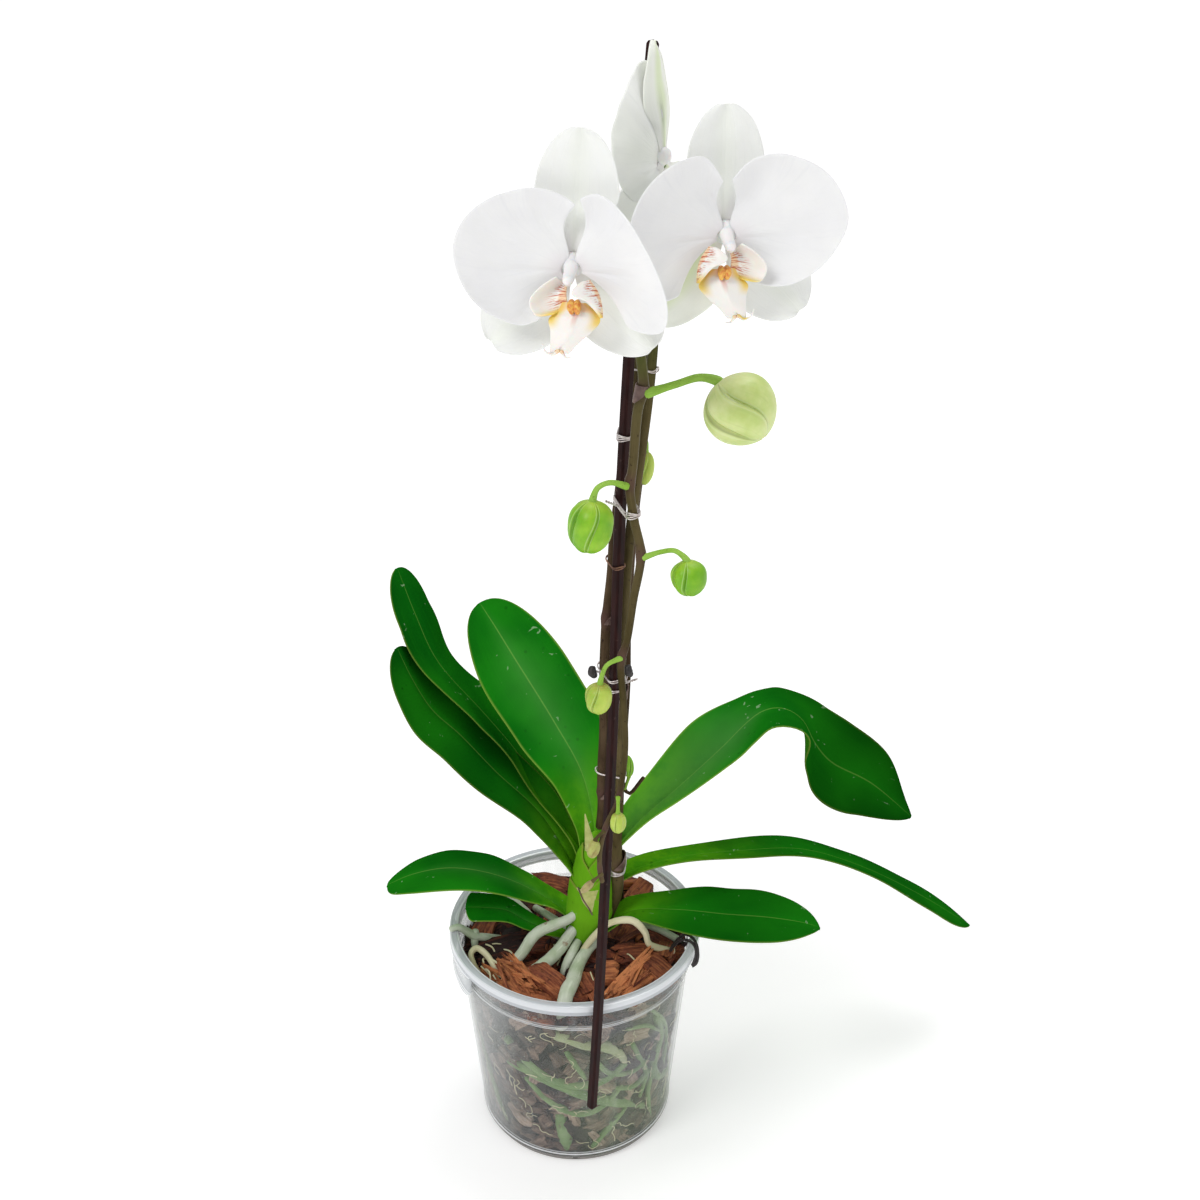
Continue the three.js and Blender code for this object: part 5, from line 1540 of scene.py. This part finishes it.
# Each lobe of a lip lies between a line at its root and a line at its rim: across, up, forward.
lip = {
    "inner": {"root": [(-1.5, -6.5, 4), (-1.6, -10, 7), (-0.8, -14.5, 9.5)],
              "rim": [(-5.2, -2.9, 7), (-9.5, -6, 9.5), (-13.6, -10.2, 10.5), (-15, -14.2, 10.5),
                      (-12.6, -18.6, 11), (-6, -17.4, 11.5)], "swell": -2.2},
    "outer": {"root": [(6.4, -3.4, 5), (9.4, -7.6, 6), (10.8, -12.6, 8), (11.2, -18, 11)],
              "rim": [(4.2, -4.4, 9), (0.8, -7.4, 12.5), (0.6, -10, 14), (5.4, -12, 14.5), (8.5, -15, 13.5),
                      (10.8, -18, 11.5)], "swell": 1.8},
    "middle": [(1.2, -12.5, 9), (2.2, -16.2, 11), (1.2, -19.5, 12.5), (-0.2, -24, 13), (-2.4, -28.5, 12),
               (-4.2, -32.8, 9.5)],
    "half": [4.2, 7, 9.2, 7.2, 5, 3.6],  # half the middle lobe's width, from root to tip
    "tendrils": [
        [(-4.6, -31.6, 10), (-6.6, -33.4, 10), (-9.2, -32.6, 11), (-10.4, -29.7, 12)],
        [(-3.4, -32, 10), (-2, -34.2, 9.5), (0.2, -34.4, 10.5)],
    ],
    "callus": [(0.2, -11.4, 10), (0, -13.4, 12.4), (0.2, -15.8, 13)],  # repeated at each of callusAt
    "callusAt": (0.1, 2.2), "flatten": 0.94,
}


def flowingPoint(points, share):
    return Vector([flowing([point[k] for point in points], share) for k in range(3)])


def makeLip(mirror):
    def onLip(x, y, z):
        return seen(mirror, x, lip["flatten"] * y, z)

    def onMiddle(u, v):
        side = 2 * u - 1
        middle = flowingPoint(lip["middle"], v)
        half = flowing(lip["half"], v) * (1 - 0.45 * smooth((v - 0.86) / 0.14) * (1 - abs(side)))
        cleft = 2.2 * hump(side, 0.3) * smooth((v - 0.8) / 0.2)
        ridge = 0.9 * hump(side, 0.16) * sin(pi * clamp(v * 1.2))
        fore = middle.z - 3.4 * side * side * sin(pi * clamp(v * 0.9 + 0.1)) + ridge
        return onLip(middle.x + side * half, middle.y + cleft, fore) * mm

    middle = placedGrid("middle", 24, 34, onMiddle)
    paint(middle, midLobe)
    parts = [middle]
    for kind in ("inner", "outer"):
        def onSideLobe(u, v):
            start = flowingPoint(lip[kind]["root"], u)
            end = flowingPoint(lip[kind]["rim"], u)
            point = start.lerp(end, v)
            wave = 0.5 * noise.noise(Vector((u * 5, v * 2, len(kind)))) * v
            return onLip(point.x, point.y, point.z + lip[kind]["swell"] * sin(pi * v) + wave) * mm

        lobe = placedGrid("lobe", 26, 18, onSideLobe)
        paint(lobe, sideLobe)
        parts.append(lobe)
    for part in parts:
        thicken(part, 0.7)
        rounded(part)
    for points in lip["tendrils"]:
        way = Way([onLip(*point) for point in points])
        parts.append(tube("tendril", way, [0.9, 0.5, 0.35, 0.22], 8, 20, midLobe))
    for side in lip["callusAt"]:
        way = Way([seen(mirror, side + x, y, z) for x, y, z in lip["callus"]])
        parts.append(tube("callus", way, [1, 1.5, 1.5, 0.8], 14, 12, callusGold))
    return joined("lip", parts)


def makeFlower(name, spec, seed):
    placed = flowerFrame(spec)
    tepals = makeTepals(spec, seed)
    tepals.data.transform(placed)
    x, y, z = spec["centre"]
    way = Way([*spec["stalk"], (x, y + 5, z - 4) if spec["mirror"] else (x, y, z)])
    stalk = tube("stalk", way, [1.9, 1.5, 1.4, 1.5, 1.9, 2.4], 14, 48, pedicelGreen)
    tepals = joined(name + "_bloom", [tepals, stalk])
    shadeSmooth(tepals)
    settle(tepals, "petal", name + "_tepals")
    throat = makeLip(spec["mirror"])
    throat.name = throat.data.name = name + "_throat"
    throat.data.transform(placed)
    shadeSmooth(throat)
    settle(throat, "lip", name + "_lip")


for flowerIndex, (flowerName, flowerSpec) in enumerate(flowers.items()):
    makeFlower(flowerName, flowerSpec, 10 * flowerIndex)
print("flowers made")


# Wire rings round two upright stems at one height. slack: the room from a stem's middle to the
# wire. tail: the side that a twisted end points to. hanging: the first stem is on its way down.
ties = {
    "tie_1": {"round": ("spike_1", "stake_2"), "height": 152, "turns": 2, "slack": 3.4},
    "tie_2": {"round": ("spike_2", "spike_1"), "height": 223, "turns": 1, "slack": 3},
    "tie_3": {"round": ("spike_2", "stake_1"), "height": 291, "turns": 1, "slack": 2.8, "tail": -1},
    "tie_4": {"round": ("spike_1", "stake_1"), "height": 286, "turns": 1, "slack": 2.8, "tail": 1,
              "clips": [(9.6, -43, 296), (25.4, -42, 296)]},
    "tie_5": {"round": ("spike_2", "stake_1"), "height": 343, "turns": 1, "slack": 2.6, "fibre": True},
    "tie_6": {"round": ("spike_1", "stake_1"), "height": 373, "turns": 2, "slack": 2.8, "tail": 1,
              "hanging": True},
    "tie_7": {"round": ("spike_2", "stake_1"), "height": 399, "turns": 2, "slack": 2.8},
    "tie_8": {"round": ("spike_1", "spike_2"), "height": 425, "turns": 1, "slack": 2.7},
}
# apart: from one round to the next. tail: the length of the twisted end. twist: how far it turns
# from knot to knot. knots: set along half a round.
wire = {
    "radius": 0.29, "apart": 0.62, "knots": 7, "sway": 0.4,
    "tail": 6, "twist": 1.5, "twistRadius": 0.34, "tailKnots": 13,
}
upright = {name: Way(spec["way"]) for name, spec in {**spikes, **stakes}.items()}


# Where a stem first rises past a height, or last falls past it
def passing(way, height, hanging=False):
    shares = [step / 500 for step in range(501)]
    if hanging:
        shares.reverse()
    return next(way.at(share) for share in shares if way.at(share).z > height)


def makeTie(name, spec):
    height = spec["height"] * mm
    start = passing(upright[spec["round"][0]], height, spec.get("hanging", False))
    end = passing(upright[spec["round"][1]], height)
    line = Vector((end.x - start.x, end.y - start.y, 0)).normalized()
    side = Vector((-line.y, line.x, 0))
    radius = (spec["slack"] + 0.35) * mm
    finish = fibreBrown if spec.get("fibre") else wireSilver
    wires = []
    for turn in range(2 * spec["turns"]):
        lift = (turn - spec["turns"] + 0.5) * wire["apart"]
        points = []
        for middle, first in ((end, -pi / 2), (start, pi / 2)):
            for i in range(wire["knots"]):
                angle = first + pi * i / (wire["knots"] - 1)
                out = line * cos(angle) + side * sin(angle)
                sway = wire["sway"] * sin(angle * 2 + turn)
                ring = Vector((middle.x, middle.y, height)) + out * radius
                points.append(ring / mm + Vector((0, 0, lift + sway)))
        points.append(points[0])
        wires.append(tube("wire", Way(points), [wire["radius"]], 8, 84, finish))
    tail = spec.get("tail")
    if tail:
        root = (start + end) / 2 + side * radius * tail
        for phase in (0, pi):
            points = []
            for i in range(wire["tailKnots"]):
                reach = i / (wire["tailKnots"] - 1) * wire["tail"]
                angle = phase + i * wire["twist"]
                swirl = Vector((line.x * cos(angle), line.y * cos(angle), sin(angle))) * wire["twistRadius"]
                middle = Vector((root.x, root.y, height)) / mm + side * tail * reach
                points.append(middle + Vector((0, 0, 0.5 * reach)) + swirl)
            wires.append(tube("wire", Way(points), [wire["radius"]], 8, 48, wireSilver))
    for x, y, z in spec.get("clips", ()):
        way = Way([(x, y, z), (x, y - 0.5, z - 2), (x + 1, y, z - 4)])
        wires.append(tube("clip", way, [1.6, 2.1, 1.5], 12, 12, cordBlack))
    piece = joined(name + "_wire", wires)
    settle(piece, "tie_wire", name)


for tieName, tieSpec in ties.items():
    makeTie(tieName, tieSpec)

# The black cord over the rim. way: turn about the pot in degrees, reach, height.
cord = {
    "radius": 0.75,
    "way": [
        (-15, 49, 106), (-15, 52, 113), (-16, 56, 119.5), (-17.5, 60.5, 122), (-20, 64.6, 122.2),
        (-22.5, 66.6, 120), (-25, 66.7, 117), (-26.8, 66.3, 115), (-24.8, 68, 116.5), (-21.5, 67, 121.4),
        (-18.4, 64, 124), (-15.5, 59.5, 123.8), (-13.5, 55.5, 119.5), (-12.6, 51.5, 112), (-13, 49, 105),
    ],
}


def cordGirth(share, turn):
    return cord["radius"] * (1 + 0.06 * sin(turn * 2 + share * 120)) * mm


cordWay = Way([aroundPot(radians(turn), reach, z) for turn, reach, z in cord["way"]])
settle(tube("rim_loop", cordWay, cordGirth, 12, 90, cordBlack), "cord", "rim_cord")
print("ties made")


clearSelection()
bpy.ops.mesh.primitive_plane_add(size=40)
floor = bpy.context.object
floor.name = "floor"
paint(floor, floorFinish())

# Light and camera are in metres
world = bpy.data.worlds.new("studio")
bpy.context.scene.world = world
world.use_nodes = True
world.node_tree.nodes["Background"].inputs["Color"].default_value = (1, 1, 1, 1)
world.node_tree.nodes["Background"].inputs["Strength"].default_value = 0.50

lampsAimAt = Vector((0.05, 0, 0.25))
lamps = {
    "key": {"at": (-0.9, -0.9, 1.6), "size": 0.7, "power": 12.5},
    "fill": {"at": (1.2, -0.8, 1.0), "size": 1.2, "power": 3},
    "top": {"at": (0.3, 0.5, 1.7), "size": 0.9, "power": 8},
}
for lampName, lamp in lamps.items():
    light = bpy.data.lights.new(lampName, "AREA")
    light.shape = "DISK"
    light.size = lamp["size"]
    light.energy = lamp["power"]
    holder = bpy.data.objects.new(lampName, light)
    holder.location = lamp["at"]
    holder.rotation_euler = (lampsAimAt - holder.location).to_track_quat("-Z", "Y").to_euler()
    bpy.context.scene.collection.objects.link(holder)

view = {"at": (0.013, -0.600, 0.617), "tilt": 62.7, "lens": 43.9, "sensor": 36}
lens = bpy.data.cameras.new("camera")
lens.lens = view["lens"]
lens.sensor_width = view["sensor"]
lens.clip_start = 0.01
camera = bpy.data.objects.new("camera", lens)
camera.location = view["at"]
camera.rotation_euler = (radians(view["tilt"]), 0, 0)
bpy.context.scene.collection.objects.link(camera)
bpy.context.scene.camera = camera
bpy.context.scene.view_settings.view_transform = "Standard"
